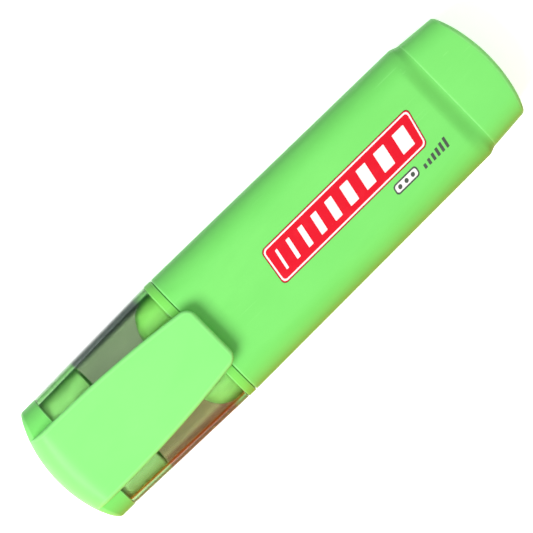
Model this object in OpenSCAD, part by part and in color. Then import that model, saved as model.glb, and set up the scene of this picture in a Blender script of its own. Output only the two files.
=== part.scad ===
// Flat highlighter with a chisel nib and a see-through cap that carries a wide clip.
// It lies on its back. X runs from the cap's end to the tail, Y across the pen and Z up
// through the clip. The origin lies under the middle of the pen, on the plane it rests on.
// Sizes are in millimetres.

/* [Body] */
// Width of the pen at the collar, where it is widest
body_w = 27.7; // [25:0.1:31]
// Clear room above and below the inner cap, which sets how thick the pen is
cap_room = 1; // [0.6:0.05:2.5]
// How far each rounded side reaches in from the edge
side_reach = 6.5; // [5:0.1:9]
// Length of the barrel, from the collar to the foot of the tail
barrel_len = 62.3; // [50:0.1:80]
// How much narrower the barrel is at its rear than at the collar
barrel_taper = 1.2; // [0:0.1:2]
// Wall of the barrel
barrel_wall = 1.4; // [1.2:0.1:1.8]
// Thickness of the ribs that hold the reservoir in the barrel
rib_t = 0.9; // [0.6:0.1:1.4]
// Length of the rounded shoulder at the rear of the barrel
shoulder_len = 1.8; // [1:0.1:3]

/* [Tail plug] */
// Length of the tail at its edges, behind the barrel
tail_len = 8; // [6:0.1:12]
// How much narrower the tail is at its end than at its foot
tail_taper = 1.2; // [0:0.1:2]
// How far the tail's end bulges past its edges
tail_dome = 2.4; // [1:0.1:4]
// Wall of the tail plug
tail_wall = 1.2; // [1:0.1:1.6]
// Length of the tail plug's spigot inside the barrel
tail_spigot_len = 6; // [4:0.1:8]
// Thickness of the two vanes that keep the reservoir forward
vane_t = 1.2; // [0.8:0.1:1.6]
// Rounding of the tail's end, above and below
tail_round = 1; // [0.5:0.1:2]

/* [Front section] */
// Length of the collar that shows between the barrel and the cap
collar_len = 1.8; // [1:0.1:3]
// Length of the straight neck inside the cap's mouth
neck_len = 1.3; // [1:0.1:3]
// Length of the round shoulder between the neck and the nose
front_shoulder_len = 6.2; // [5:0.1:9]
// Length of the nose that holds the nib
nose_len = 7.5; // [5:0.1:10]
// Wall of the nose at the corners of the nib
nose_wall = 1.1; // [0.8:0.05:1.6]
// How much larger the nose's radius is at its root than at its tip
nose_taper = 0.6; // [0.2:0.05:1]
// Wall of the section's spigot
section_wall = 1.1; // [1:0.1:1.4]
// Length of the section's spigot inside the barrel
section_spigot_len = 9; // [6:0.1:12]
// Width of each vent groove beside the nib
vent_w = 0.7; // [0.4:0.1:1]

/* [Nib and reservoir] */
// Width of the nib
nib_w = 5; // [4:0.1:6]
// Thickness of the nib
nib_t = 3.4; // [2.8:0.1:4.2]
// Thickness left at the nib's writing edge
nib_edge_t = 1.3; // [0.8:0.1:2]
// How far the nib stands out of the nose
nib_out = 6; // [4:0.1:8]
// How far the nib reaches into the reservoir
nib_in = 6; // [4:0.1:9]
// How far one corner of the nib's edge lies behind the other
nib_slant = 3; // [1:0.1:4]
// Clear room on each side of the reservoir
fibre_room = 0.6; // [0.4:0.1:3]
// Wall of the film around the reservoir
film_t = 0.2; // [0.15:0.05:0.4]

/* [Cap] */
// Length of the see-through sleeve
sleeve_len = 28.4; // [24:0.1:36]
// How much narrower the cap is at its closed end than at its mouth
cap_taper = 1.3; // [0:0.1:2]
// Wall of the sleeve
cap_wall = 1.1; // [1:0.1:1.4]
// Length of the cap's head at its edges, behind the sleeve
head_len = 3.7; // [2:0.1:6]
// How far the cap's end bulges past its edges
cap_dome = 3.4; // [1:0.1:5]
// Length of the head's spigot inside the sleeve
head_spigot_len = 9.3; // [6:0.1:12]
// Wall of the head and its spigot
head_wall = 1.3; // [1:0.1:1.6]
// Wall of the inner cap that seals the nose
seal_wall = 0.8; // [0.6:0.1:1.2]
// Depth of the ring that holds the inner cap
seal_socket_len = 4; // [3:0.1:6]
// Rounding of the cap's end, below
heel_r = 1.2; // [0.5:0.1:3]
// Length and height of the brow that rounds the cap's end into the clip
brow_len = 5.5; // [3:0.1:6.5]
brow_rise = 6.5; // [3:0.1:9]

/* [Clip] */
// Width of the clip at its root
clip_root_w = 17.4; // [14:0.1:19]
// Width of the clip at its free end
clip_tip_w = 12.8; // [9:0.1:14]
// Thickness of the clip
clip_t = 1.9; // [1.4:0.1:2.4]
// Clear gap between the cap's face and the clip
clip_gap = 2; // [1.4:0.1:3]
// How far the clip reaches past the cap's mouth
clip_over = 3.7; // [2:0.1:6]
// Radius of the clip's free corners
clip_corner_r = 2; // [1:0.1:3]
// Radius of the bead under the clip's free end
clip_bead_r = 1; // [0.6:0.1:1.2]
// Gap between the bead and the pen's face
clip_bead_gap = 0.3; // [0.2:0.05:0.8]

/* [Fits] */
// Gap around pieces that are pressed together for good
press_gap = 0.05; // [0.03:0.01:0.1]
// Gap around pieces that slide, such as the neck in the cap's mouth
slide_gap = 0.15; // [0.1:0.01:0.3]
// Bevel on the edges where two pieces meet
seam_bevel = 0.25; // [0.1:0.05:0.4]

/* [Hidden] */

// Points in each quarter of a flat-oval outline, and the power that shapes its sides
quarter_steps = 15;
clip_steps = 6;
side_power = 2.3;
$fn = 64;
eps = 0.01;

// Places along the pen, from the cap's end to the tail's
total_len = cap_dome + head_len + sleeve_len + collar_len + barrel_len + tail_len + tail_dome;
x_cap_end = -total_len / 2;
x_head_edge = x_cap_end + cap_dome;
x_head = x_head_edge + head_len;
x_mouth = x_head + sleeve_len;
x_seam = x_mouth + collar_len;
x_tail = x_seam + barrel_len;
x_tail_edge = x_tail + tail_len;
x_tail_end = x_tail_edge + tail_dome;
x_neck = x_mouth - neck_len;
x_nose = x_neck - front_shoulder_len;
x_nose_tip = x_nose - nose_len;
x_nib_tip = x_nose_tip - nib_out;
x_section_back = x_seam + section_spigot_len;
x_barrel_step = x_tail - tail_spigot_len;

// From the nib outwards: the nose, the inner cap around it and the cap's faces over that
nose_tip_r = sqrt(nib_w * nib_w + nib_t * nib_t) / 2 + nose_wall;
nose_root_r = nose_tip_r + nose_taper;
seal_bore_r = nose_root_r + 2 * press_gap;
seal_r = seal_bore_r + seal_wall;
face_z = seal_r + cap_room + cap_wall;

// Half sizes of the pen and of what fits in it
cap_rear_hw = (body_w - cap_taper) / 2;
barrel_rear_hw = (body_w - barrel_taper) / 2;
// The tail takes the cap's mouth when the cap is posted
tail_foot_inset = cap_wall + press_gap;
tail_foot_hw = body_w / 2 - tail_foot_inset;
tail_foot_ht = face_z - tail_foot_inset;
tail_drop_w = barrel_rear_hw - tail_foot_hw;
// The reservoir takes the room that the section's spigot leaves
section_inset = barrel_wall + press_gap;
cavity_inset = section_inset + section_wall;
film_outer_ht = face_z - cavity_inset - slide_gap;
film_outer_hw = barrel_rear_hw - cavity_inset - fibre_room;
fibre_ht = film_outer_ht - film_t;
fibre_hw = film_outer_hw - film_t;
x_fibre_front = x_mouth + press_gap;
x_fibre_back = x_barrel_step - slide_gap;
x_nib_back = x_fibre_front + nib_in;

// The inner cap runs from the head's floor to just short of the front shoulder
x_head_floor = x_head_edge + head_wall;
x_seal_mouth = x_nose - 2 * slide_gap;

// The clip's places: its underside, its top and its two ends
clip_low_z = face_z + clip_gap;
clip_top_z = clip_low_z + clip_t;
clip_mid_z = (clip_low_z + clip_top_z) / 2;
x_clip_root = x_head - press_gap;
x_clip_tip = x_mouth + clip_over;

// Half width of the barrel and of the cap at a place along the pen
function between(x, x0, v0, x1, v1) = v0 + (v1 - v0) * (x - x0) / (x1 - x0);
function barrel_hw(x) = between(x, x_seam, body_w / 2, x_tail, barrel_rear_hw);
function cap_hw(x) = between(x, x_mouth, body_w / 2, x_head, cap_rear_hw);
function tail_hw(x) = between(x, x_tail, tail_foot_hw, x_tail_edge, tail_foot_hw - tail_taper / 2);
// Half width of the clip: its sides draw in as the square of the way along
function clip_hw(x) = (clip_root_w - (clip_root_w - clip_tip_w)
    * pow((x - x_clip_root) / (x_clip_tip - x_clip_root), 2)) / 2;

// Radius of an end face that recedes by rise at a half width of hw
function dome_r(hw, rise) = (hw * hw + rise * rise) / (2 * rise);
// Points on an ellipse about (cx, cy), from angle a0 to a1
function arc(cx, cy, rx, ry, a0, a1, steps) =
    [for (i = [0:steps]) let (a = a0 + (a1 - a0) * i / steps) [cx + rx * cos(a), cy + ry * sin(a)]];
function reversed(list) = [for (i = [len(list) - 1:-1:0]) list[i]];

// One quarter of the flat-oval outline, from the side's middle to the flat
function side_curve(hw, ht, reach, steps) = [for (i = [0:steps])
    let (a = 90 * i / steps)
    [hw - reach + reach * pow(cos(a), 2 / side_power), ht * pow(sin(a), 2 / side_power)]];
// The whole outline: flat top and bottom, round sides
function oval(hw, ht, reach, steps) = let (q = side_curve(hw, ht, reach, steps)) concat(
    q,
    [for (p = reversed(q)) [-p.x, p.y]],
    [for (i = [1:steps]) [-q[i].x, -q[i].y]],
    [for (i = [steps:-1:1]) [q[i].x, -q[i].y]]);

// A station is [x, half width, half thickness, side reach]. This one is the pen's own outline
// at x, a half width of hw wide, and inset all round
function station(x, hw, inset) = [x, hw - inset, face_z - inset, side_reach - inset];

// Closed skin through a list of stations. With loop, the last station joins the first, so that
// stations which run up the outside and back down the inside make a tube
module skin(stations, loop = false, steps = quarter_steps) {
    ring = [for (s = stations) [for (p = oval(s[1], s[2], s[3], steps)) [s[0], p.x, p.y]]];
    n = len(ring[0]);
    rings = len(ring);
    walls = [for (k = [0:rings - (loop ? 1 : 2)], i = [0:n - 1])
        let (a = k * n, b = (k + 1) % rings * n, j = (i + 1) % n)
        each [[a + i, b + i, b + j], [a + i, b + j, a + j]]];
    ends = loop ? [] : [[for (i = [0:n - 1]) i], [for (i = [n - 1:-1:0]) (rings - 1) * n + i]];
    polyhedron(points = [for (r = ring) each r], faces = concat(walls, ends), convexity = 6);
}

// Lifts what is drawn about the pen's own axis up onto the plane it rests on
module on_plane() translate([0, 0, face_z]) children();
// A side view drawn in X and Z, made w wide across the pen
module across(w) rotate([90, 0, 0]) linear_extrude(w, center = true) children();
// A cylinder along the pen, from x0 to x1
module along(x0, x1, r0, r1) translate([x0, 0, 0]) rotate([0, 90, 0])
    cylinder(h = x1 - x0, r1 = r0, r2 = r1);
// What lies inside an end face of radius r, whose outermost point is at x; side is 1 or -1
module inside_dome(x, r, side) translate([x - side * r, 0, 0])
    cylinder(h = 8 * face_z, r = r, center = true, $fn = 180);

module barrel_rib(x0, x1) {
    root = barrel_wall / 2;
    for (side = [0, 1]) mirror([0, side, 0]) {
        translate([0, 0, -rib_t / 2]) linear_extrude(rib_t) polygon([
            [x0, film_outer_hw + press_gap], [x1, film_outer_hw + press_gap],
            [x1, barrel_hw(x1) - root], [x0, barrel_hw(x0) - root]]);
        for (top = [0, 1]) mirror([0, 0, top])
            translate([x0, fibre_hw / 2 - rib_t / 2, film_outer_ht + press_gap])
                cube([x1 - x0, rib_t, face_z - root - film_outer_ht - press_gap]);
    }
}

module barrel() color("palegreen") on_plane() {
    drop_t = tail_foot_inset;
    shoulder = [for (a = [0:15:90]) let (x = x_tail - shoulder_len + shoulder_len * sin(a))
        [x, barrel_hw(x) - tail_drop_w * (1 - cos(a)), face_z - drop_t * (1 - cos(a)), side_reach]];
    rear_inset = tail_foot_inset + tail_wall;
    outside = concat([station(x_seam, body_w / 2, seam_bevel),
        station(x_seam + seam_bevel, barrel_hw(x_seam), 0)], shoulder);
    inside = [
        [x_tail, tail_foot_hw - tail_wall, face_z - rear_inset, side_reach - rear_inset],
        [x_barrel_step, tail_foot_hw - tail_wall, face_z - rear_inset, side_reach - rear_inset],
        station(x_barrel_step - eps, barrel_hw(x_barrel_step), barrel_wall),
        station(x_seam, barrel_hw(x_seam), barrel_wall)];
    skin(concat(outside, inside), loop = true);
    barrel_rib(x_section_back + 1, x_barrel_step - 1);
}

// Side view of the tail's end, with its top and bottom edges rounded
module tail_end_side() {
    z = tail_foot_ht - tail_round;
    x = x_tail_end - tail_round;
    polygon(concat([[x_tail - 1, face_z], [x_tail - 1, -face_z], [x - shoulder_len, -face_z]],
        arc(x, -z, tail_round, tail_round, -90, 0, 6), arc(x, z, tail_round, tail_round, 0, 90, 6),
        [[x - shoulder_len, face_z]]));
}

module tail_plug() color("lightgreen") on_plane() {
    rear_inset = tail_foot_inset + tail_wall;
    reach = side_reach - tail_foot_inset;
    taper_t = tail_taper / 2;
    far = x_tail_end + 1;
    r = dome_r(tail_hw(x_tail_edge), tail_dome);
    spigot_gap = press_gap;
    difference() {
        union() {
            intersection() {
                skin([
                    [x_tail, tail_foot_hw - seam_bevel, tail_foot_ht - seam_bevel, reach - seam_bevel],
                    [x_tail + seam_bevel, tail_foot_hw, tail_foot_ht, reach],
                    [far, tail_hw(far), tail_foot_ht - taper_t, reach]]);
                inside_dome(x_tail_end, r, 1);
                across(2 * body_w) tail_end_side();
            }
            skin([
                [x_barrel_step, tail_foot_hw - tail_wall - spigot_gap - seam_bevel,
                    face_z - rear_inset - spigot_gap - seam_bevel, side_reach - rear_inset - seam_bevel],
                [x_barrel_step + 2 * seam_bevel, tail_foot_hw - tail_wall - spigot_gap,
                    face_z - rear_inset - spigot_gap, side_reach - rear_inset],
                [x_tail + 1, tail_foot_hw - tail_wall - spigot_gap,
                    face_z - rear_inset - spigot_gap, side_reach - rear_inset]]);
        }
        intersection() {
            skin([
                [x_barrel_step - 1, tail_foot_hw - 2 * tail_wall, face_z - rear_inset - tail_wall, 3],
                [far, tail_hw(far) - 2 * tail_wall, face_z - rear_inset - tail_wall - taper_t, 3]]);
            inside_dome(x_tail_end - tail_wall, r - tail_wall, 1);
        }
    }
    for (side = [-1, 1]) translate([x_barrel_step, side * fibre_hw / 2 - vane_t / 2, 0])
        linear_extrude(2 * (face_z - rear_inset - tail_wall / 2), center = true)
            square([x_tail_end - x_barrel_step - tail_wall / 2 - tail_dome / 2, vane_t]);
}

// The nib's outline across the pen, grown by a gap for the slot that holds it
module nib_outline(gap) offset(delta = gap) offset(r = 0.6) offset(delta = -0.6)
    square([nib_t, nib_w], center = true);

module front_section() color("limegreen") on_plane() {
    neck_inset = cap_wall + slide_gap;
    neck_hw = cap_hw(x_neck) - neck_inset;
    nose_hw = nose_root_r + 2 * slide_gap;
    round = [for (a = [90:-10:0]) [x_neck - front_shoulder_len * sin(a),
        nose_hw + (neck_hw - nose_hw) * cos(a),
        nose_hw + (face_z - neck_inset - nose_hw) * cos(a),
        nose_hw + (side_reach - neck_inset - nose_hw) * cos(a)]];
    difference() {
        union() {
            skin(concat(round, [
                station(x_mouth, cap_hw(x_mouth), neck_inset),
                station(x_mouth, body_w / 2, seam_bevel),
                station(x_mouth + seam_bevel, body_w / 2, 0),
                station(x_seam - seam_bevel, body_w / 2, 0),
                station(x_seam, body_w / 2, seam_bevel),
                station(x_seam, barrel_hw(x_seam), section_inset),
                station(x_section_back - 2 * seam_bevel, barrel_hw(x_section_back), section_inset),
                station(x_section_back, barrel_hw(x_section_back), section_inset + seam_bevel)]));
            along(x_nose_tip, x_nose + 1, nose_tip_r, nose_root_r);
        }
        skin([
            station(x_fibre_front, barrel_hw(x_section_back), cavity_inset),
            station(x_section_back + 1, barrel_hw(x_section_back), cavity_inset)]);
        translate([x_nose_tip - 1, 0, 0]) rotate([0, 90, 0])
            linear_extrude(x_fibre_front - x_nose_tip + 2) nib_outline(press_gap);
        for (side = [-1, 1]) translate([x_nose_tip - 1, -vent_w / 2, side * nib_t / 2 - vent_w / 2])
            cube([x_fibre_front - x_nose_tip + 2, vent_w, vent_w]);
    }
}

module nib() color("yellowgreen") on_plane() {
    flat = nib_t / 2;
    edge = nib_edge_t / 2;
    bevel_len = 0.75 * nib_out;
    intersection() {
        translate([x_nib_tip - 1, 0, 0]) rotate([0, 90, 0])
            linear_extrude(x_nib_back - x_nib_tip + 1) nib_outline(0);
        linear_extrude(2 * nib_t, center = true) polygon([
            [x_nib_tip, nib_w / 2], [x_nib_tip, nib_w / 2 - 0.8],
            [x_nib_tip + nib_slant, -nib_w / 2], [x_nib_back, -nib_w / 2], [x_nib_back, nib_w / 2]]);
        across(2 * nib_w) polygon([
            [x_nib_tip, edge], [x_nib_tip + bevel_len, flat], [x_nib_back, flat],
            [x_nib_back, -flat], [x_nib_tip + bevel_len, -flat], [x_nib_tip, -edge]]);
    }
}

module reservoir_fibre() color("greenyellow") on_plane() {
    pocket_w = nib_w + 2 * press_gap;
    pocket_t = nib_t + 2 * press_gap;
    difference() {
        skin([[x_fibre_front, fibre_hw, fibre_ht, fibre_ht], [x_fibre_back, fibre_hw, fibre_ht, fibre_ht]]);
        translate([x_fibre_front - 1, -pocket_w / 2, -pocket_t / 2])
            cube([nib_in + 1 + press_gap, pocket_w, pocket_t]);
    }
}

module reservoir_film() color("white") on_plane() {
    in_hw = fibre_hw + eps;
    in_ht = fibre_ht + eps;
    out = film_t - eps;
    skin([
        [x_fibre_front, in_hw + out, in_ht + out, in_ht + out],
        [x_fibre_back, in_hw + out, in_ht + out, in_ht + out],
        [x_fibre_back, in_hw, in_ht, in_ht],
        [x_fibre_front, in_hw, in_ht, in_ht]], loop = true);
}

module cap_sleeve() color("dimgray") on_plane()
    skin([
        station(x_head, cap_hw(x_head), seam_bevel),
        station(x_head + seam_bevel, cap_hw(x_head), 0),
        station(x_mouth - seam_bevel, cap_hw(x_mouth), 0),
        station(x_mouth, cap_hw(x_mouth), seam_bevel),
        station(x_mouth, cap_hw(x_mouth), cap_wall - seam_bevel),
        station(x_mouth - 2 * seam_bevel, cap_hw(x_mouth), cap_wall),
        station(x_head, cap_hw(x_head), cap_wall)], loop = true);

// Side view of the head, with its end's top and bottom edges rounded
module head_side() polygon(concat(
    arc(x_cap_end + heel_r, -face_z + heel_r, heel_r, heel_r, 270, 180, 6),
    arc(x_cap_end + heel_r, face_z - heel_r, heel_r, heel_r, 180, 90, 6),
    [[x_head + 1, face_z], [x_head + 1, -face_z]]));

// Side view of the riser under the clip's root, with a tall brow that runs into the clip
module riser_side() polygon(concat(
    arc(x_cap_end + brow_len, clip_top_z - brow_rise, brow_len, brow_rise, 180, 90, 12),
    [[x_clip_root, clip_top_z], [x_clip_root, 0], [x_cap_end, 0]]));

// The riser under the clip's root, cut square at both ends. Its top has the clip's own section
module riser_block() {
    hw = clip_root_w / 2;
    top = oval(hw, clip_t / 2, clip_t / 2, clip_steps);
    translate([x_cap_end - 1, 0, 0]) rotate([90, 0, 90]) linear_extrude(x_clip_root + 2 - x_cap_end)
        polygon(concat([for (i = [0:2 * clip_steps + 1]) [top[i].x, clip_mid_z + top[i].y]],
            [[-hw, 0], [hw, 0]]));
}

module cap_end_plug() color("lightgreen") on_plane() {
    spigot_inset = cap_wall + press_gap;
    x_spigot_end = x_head + head_spigot_len;
    floor_r = dome_r(cap_rear_hw, cap_dome);
    difference() {
        union() {
            intersection() {
                union() {
                    intersection() {
                        skin([
                            station(x_cap_end - 1, cap_rear_hw, 0),
                            station(x_head - seam_bevel, cap_rear_hw, 0),
                            station(x_head, cap_rear_hw, seam_bevel)]);
                        across(2 * body_w) head_side();
                    }
                    intersection() {
                        riser_block();
                        across(2 * body_w) riser_side();
                    }
                }
                inside_dome(x_cap_end, floor_r, -1);
            }
            skin([
                station(x_head - 1, cap_rear_hw, spigot_inset),
                station(x_spigot_end - 2 * seam_bevel, cap_hw(x_spigot_end), spigot_inset),
                station(x_spigot_end, cap_hw(x_spigot_end), spigot_inset + seam_bevel)]);
        }
        // The hollow, less a ring on its floor, and the bore that takes the inner cap
        difference() {
            skin([
                station(x_head_floor, cap_rear_hw, spigot_inset + head_wall),
                station(x_spigot_end + 1, cap_hw(x_spigot_end), spigot_inset + head_wall)]);
            along(x_head_floor - 1, x_head_floor + seal_socket_len, seal_r + head_wall, seal_r + head_wall);
        }
        along(x_head_floor, x_spigot_end + 2, seal_r + press_gap, seal_r + press_gap);
    }
}

module inner_cap() color("whitesmoke") on_plane()
    translate([x_head_floor + press_gap, 0, 0]) rotate([0, 90, 0]) {
        depth = x_seal_mouth - x_head_floor - press_gap;
        rotate_extrude() polygon([
            [0, 0], [seal_r - seam_bevel, 0], [seal_r, seam_bevel], [seal_r, depth - seam_bevel],
            [seal_r - seam_bevel, depth], [seal_bore_r + seam_bevel, depth],
            [seal_bore_r, depth - 2 * seam_bevel], [seal_bore_r, seal_wall], [0, seal_wall]]);
    }

module clip() color("palegreen") on_plane() {
    half_t = clip_t / 2;
    x_corner = x_clip_tip - clip_corner_r;
    x_start = x_clip_root + press_gap;
    // The free end is rounded in plan by the corner radius and in side view by half the thickness
    sides = [for (i = [0:12]) let (x = x_start + (x_corner - x_start) * i / 12)
        [x, clip_hw(x), half_t, half_t]];
    corners = [for (a = [15:15:75]) let (x = x_corner + clip_corner_r * sin(a))
        [x, clip_hw(x) - clip_corner_r * (1 - cos(a)),
            half_t * sqrt(1 - pow(max(0, (x - x_clip_tip + half_t) / half_t), 2)), half_t]];
    tip = [[x_clip_tip, clip_tip_w / 2 - clip_corner_r, 0.2 * half_t, half_t]];
    translate([0, 0, clip_mid_z]) skin(concat(sides, corners, tip), steps = clip_steps);
    x_bead = x_corner - clip_bead_r / 2;
    z_bead = face_z + clip_bead_gap + clip_bead_r;
    across(clip_tip_w - 2 * clip_corner_r) polygon(concat(
        [[x_bead + clip_bead_r, clip_mid_z], [x_bead - clip_bead_r, clip_mid_z]],
        arc(x_bead, z_bead, clip_bead_r, clip_bead_r, 180, 360, 12)));
}

barrel();
tail_plug();
front_section();
nib();
reservoir_fibre();
reservoir_film();
cap_sleeve();
cap_end_plug();
inner_cap();
clip();
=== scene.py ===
"""Builds the looks of a flat highlighter around its CAD frame: barrel, tail plug, front section,
nib, see-through cap with its head, inner cap and clip, the print on the barrel, and the stage."""

import math

import bpy
import numpy as np
from bpy.props import FloatProperty, FloatVectorProperty, IntProperty, PointerProperty
from bpy.types import Operator, Panel, PropertyGroup
from mathutils import Matrix, Vector


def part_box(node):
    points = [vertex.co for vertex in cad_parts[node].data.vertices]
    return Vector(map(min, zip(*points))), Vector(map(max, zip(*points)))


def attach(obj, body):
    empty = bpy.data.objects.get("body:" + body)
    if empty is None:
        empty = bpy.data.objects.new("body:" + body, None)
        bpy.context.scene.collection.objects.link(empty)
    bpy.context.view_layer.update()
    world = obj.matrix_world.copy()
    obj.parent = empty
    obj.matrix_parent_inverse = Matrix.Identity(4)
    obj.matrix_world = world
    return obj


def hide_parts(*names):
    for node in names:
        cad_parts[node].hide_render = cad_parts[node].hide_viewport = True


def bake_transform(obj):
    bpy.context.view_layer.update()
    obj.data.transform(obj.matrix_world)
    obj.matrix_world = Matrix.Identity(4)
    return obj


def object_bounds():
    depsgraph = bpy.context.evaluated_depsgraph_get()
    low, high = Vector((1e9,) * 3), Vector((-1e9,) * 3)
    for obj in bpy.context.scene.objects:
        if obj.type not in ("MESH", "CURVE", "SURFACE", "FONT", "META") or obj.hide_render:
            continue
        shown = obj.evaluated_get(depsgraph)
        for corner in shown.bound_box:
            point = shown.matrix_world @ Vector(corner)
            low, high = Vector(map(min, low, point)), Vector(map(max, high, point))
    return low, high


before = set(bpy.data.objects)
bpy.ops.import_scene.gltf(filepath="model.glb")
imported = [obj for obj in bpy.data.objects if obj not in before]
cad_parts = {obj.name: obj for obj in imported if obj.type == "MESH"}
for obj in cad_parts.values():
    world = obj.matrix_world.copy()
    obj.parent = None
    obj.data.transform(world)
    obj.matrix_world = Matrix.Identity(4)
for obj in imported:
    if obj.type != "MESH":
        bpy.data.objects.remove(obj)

bl_info = {
    "name": "Flat Highlighter",
    "version": (1, 0, 0),
    "blender": (4, 5, 0),
    "location": "View3D > Sidebar > Highlighter",
    "description": "Builds a flat highlighter with a see-through cap over its CAD frame",
    "category": "Object",
}

MM = 0.001
CAD_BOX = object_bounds()
BARREL, TAIL, SECTION, NIB, FILM, SLEEVE, HEAD, CUP, CLIP = (
    np.array(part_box(name))
    for name in (
        "barrel", "tail_plug", "front_section", "nib", "reservoir_film",
        "cap_sleeve", "cap_end_plug", "inner_cap", "clip",
    )
)
AXIS_Z = BARREL[:, 2].mean()
HALF_WIDTH = BARREL[1, 1]
HALF_THICK = BARREL[1, 2] - AXIS_Z
PRESS_GAP = 0.05 * MM
PLASTIC_IOR = 1.49
SLEEVE_IOR = 1.14


# Settings


def length(name, description, value):
    return FloatProperty(
        name=name, description=description, default=value, min=0, soft_max=0.2,
        unit="LENGTH", precision=5,
    )


def colour(name, description, value):
    return FloatVectorProperty(
        name=name, description=description, default=value, size=len(value), min=0, max=1,
        subtype="COLOR",
    )


def share(name, description, value, top=1.0):
    return FloatProperty(
        name=name, description=description, default=value, min=0, max=top, subtype="FACTOR"
    )


class HighlighterBody(PropertyGroup):
    """Sizes of the barrel, the tail plug and the front section"""

    side_reach: length("Side Reach", "How far each rounded side reaches in from the edge", 6.5 * MM)
    side_power: FloatProperty(
        name="Side Power", description="Power that shapes the rounded sides, 2 for an ellipse",
        default=2.3, min=1.5, max=4,
    )
    barrel_taper: length("Barrel Taper", "How much narrower the barrel is at its rear", 1.2 * MM)
    barrel_wall: length("Barrel Wall", "Wall of the barrel", 1.4 * MM)
    shoulder: length("Rear Shoulder", "Length of the soft shoulder at the barrel's rear", 3.9 * MM)
    step: length("Rear Step", "Length over which the sides draw in at the rear", 1.9 * MM)
    rib: length("Rib", "Thickness of the ribs that hold the reservoir", 0.9 * MM)
    seam_round: length("Seam Round", "Rounding of the edges where two pieces meet", 0.25 * MM)
    tail_taper: length("Tail Taper", "How much narrower the tail is at its end", 1.2 * MM)
    tail_bulge: length("Tail Bulge", "How far the tail's end bulges past its edges", 2.4 * MM)
    tail_wall: length("Tail Wall", "Wall of the tail plug", 1.2 * MM)
    tail_round: length("Tail Round", "Rounding of the tail's end above and below", 1.1 * MM)
    corner_round: length("Corner Round", "Rounding of both end faces at the pen's sides", 0.45 * MM)
    seam_slit: length("Seam Slit", "Open slit between the collar and the barrel", 0.12 * MM)
    neck_inset: length("Neck Inset", "How far the neck lies inside the cap's face", 1.25 * MM)
    neck_length: length("Neck Length", "Length of the straight neck in the cap's mouth", 1.3 * MM)
    nose_length: length("Nose Length", "Length of the nose that holds the nib", 7.5 * MM)
    nose_taper: length("Nose Taper", "How much larger the nose's radius is at its root", 0.6 * MM)
    nose_wall: length("Nose Wall", "Wall of the nose at the corners of the nib", 1.1 * MM)
    spigot_wall: length("Spigot Wall", "Wall of the front section's spigot", 1.1 * MM)
    nib_edge: length("Nib Edge", "Thickness of the nib at its writing edge", 1.3 * MM)
    nib_slant: length("Nib Slant", "How far one corner of the edge lies behind the other", 3 * MM)


class HighlighterCap(PropertyGroup):
    """Sizes of the sleeve, the head and the inner cap"""

    taper: length("Cap Taper", "How much narrower the cap is at its closed end", 1.3 * MM)
    sleeve_wall: length("Sleeve Wall", "Wall of the see-through sleeve", 1.1 * MM)
    bulge: length("End Bulge", "How far the cap's end bulges past its edges", 3.4 * MM)
    end_round: length("End Round", "Rounding of the cap's end below and beside the clip", 1.2 * MM)
    head_wall: length("Head Wall", "Wall of the head and its spigot", 1.3 * MM)
    socket: length("Socket", "Depth of the ring that holds the inner cap", 4 * MM)
    cup_wall: length("Inner Cap Wall", "Wall of the inner cap", 0.8 * MM)


class HighlighterClip(PropertyGroup):
    """Sizes of the clip and of the brow that carries it"""

    root_width: length("Root Width", "Width of the clip at its root", 17.4 * MM)
    tip_width: length("Tip Width", "Width of the clip at its free end", 12.8 * MM)
    thickness: length("Thickness", "Thickness of the clip", 1.9 * MM)
    corner: length("Corner", "Rounding of the clip's free corners", 2 * MM)
    brow_length: length("Brow Length", "Length of the brow that runs into the clip", 5.5 * MM)
    brow_rise: length("Brow Rise", "Height of the brow", 6.5 * MM)
    crown: length("Crown", "How far the clip's top bulges over its edges", 0.12 * MM)
    bead: length("Bead", "Radius of the bead under the free end", 1 * MM)


class HighlighterPrint(PropertyGroup):
    """Sizes of the print on the barrel's face"""

    start: length("Start", "Distance from the collar to the panel", 17.45 * MM)
    offset: length("Offset", "How far the panel lies off the barrel's middle line", 0.4 * MM)
    panel_length: length("Panel Length", "Length of the slanted panel", 36.9 * MM)
    panel_height: length("Panel Height", "Height of the slanted panel", 7.5 * MM)
    slant: share("Slant", "Sideways shift of the print for each unit of height", 0.2)
    fan: share("Fan", "How much more the panel's far end is slanted than its near end", 0.1)
    corner: length("Corner", "Rounding of the panel's corners", 1 * MM)
    bar_height: length("Bar Height", "Height of the row of bars", 4 * MM)
    bars: IntProperty(name="Bars", description="Number of bars in the row", default=9, min=1, max=20)
    bar_first: length("First Bar", "Width of the thinnest bar", 0.55 * MM)
    bar_step: length("Bar Step", "How much wider each bar is than the one before", 0.29 * MM)
    film: length("Film", "Thickness of one layer of ink", 0.009 * MM)


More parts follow.
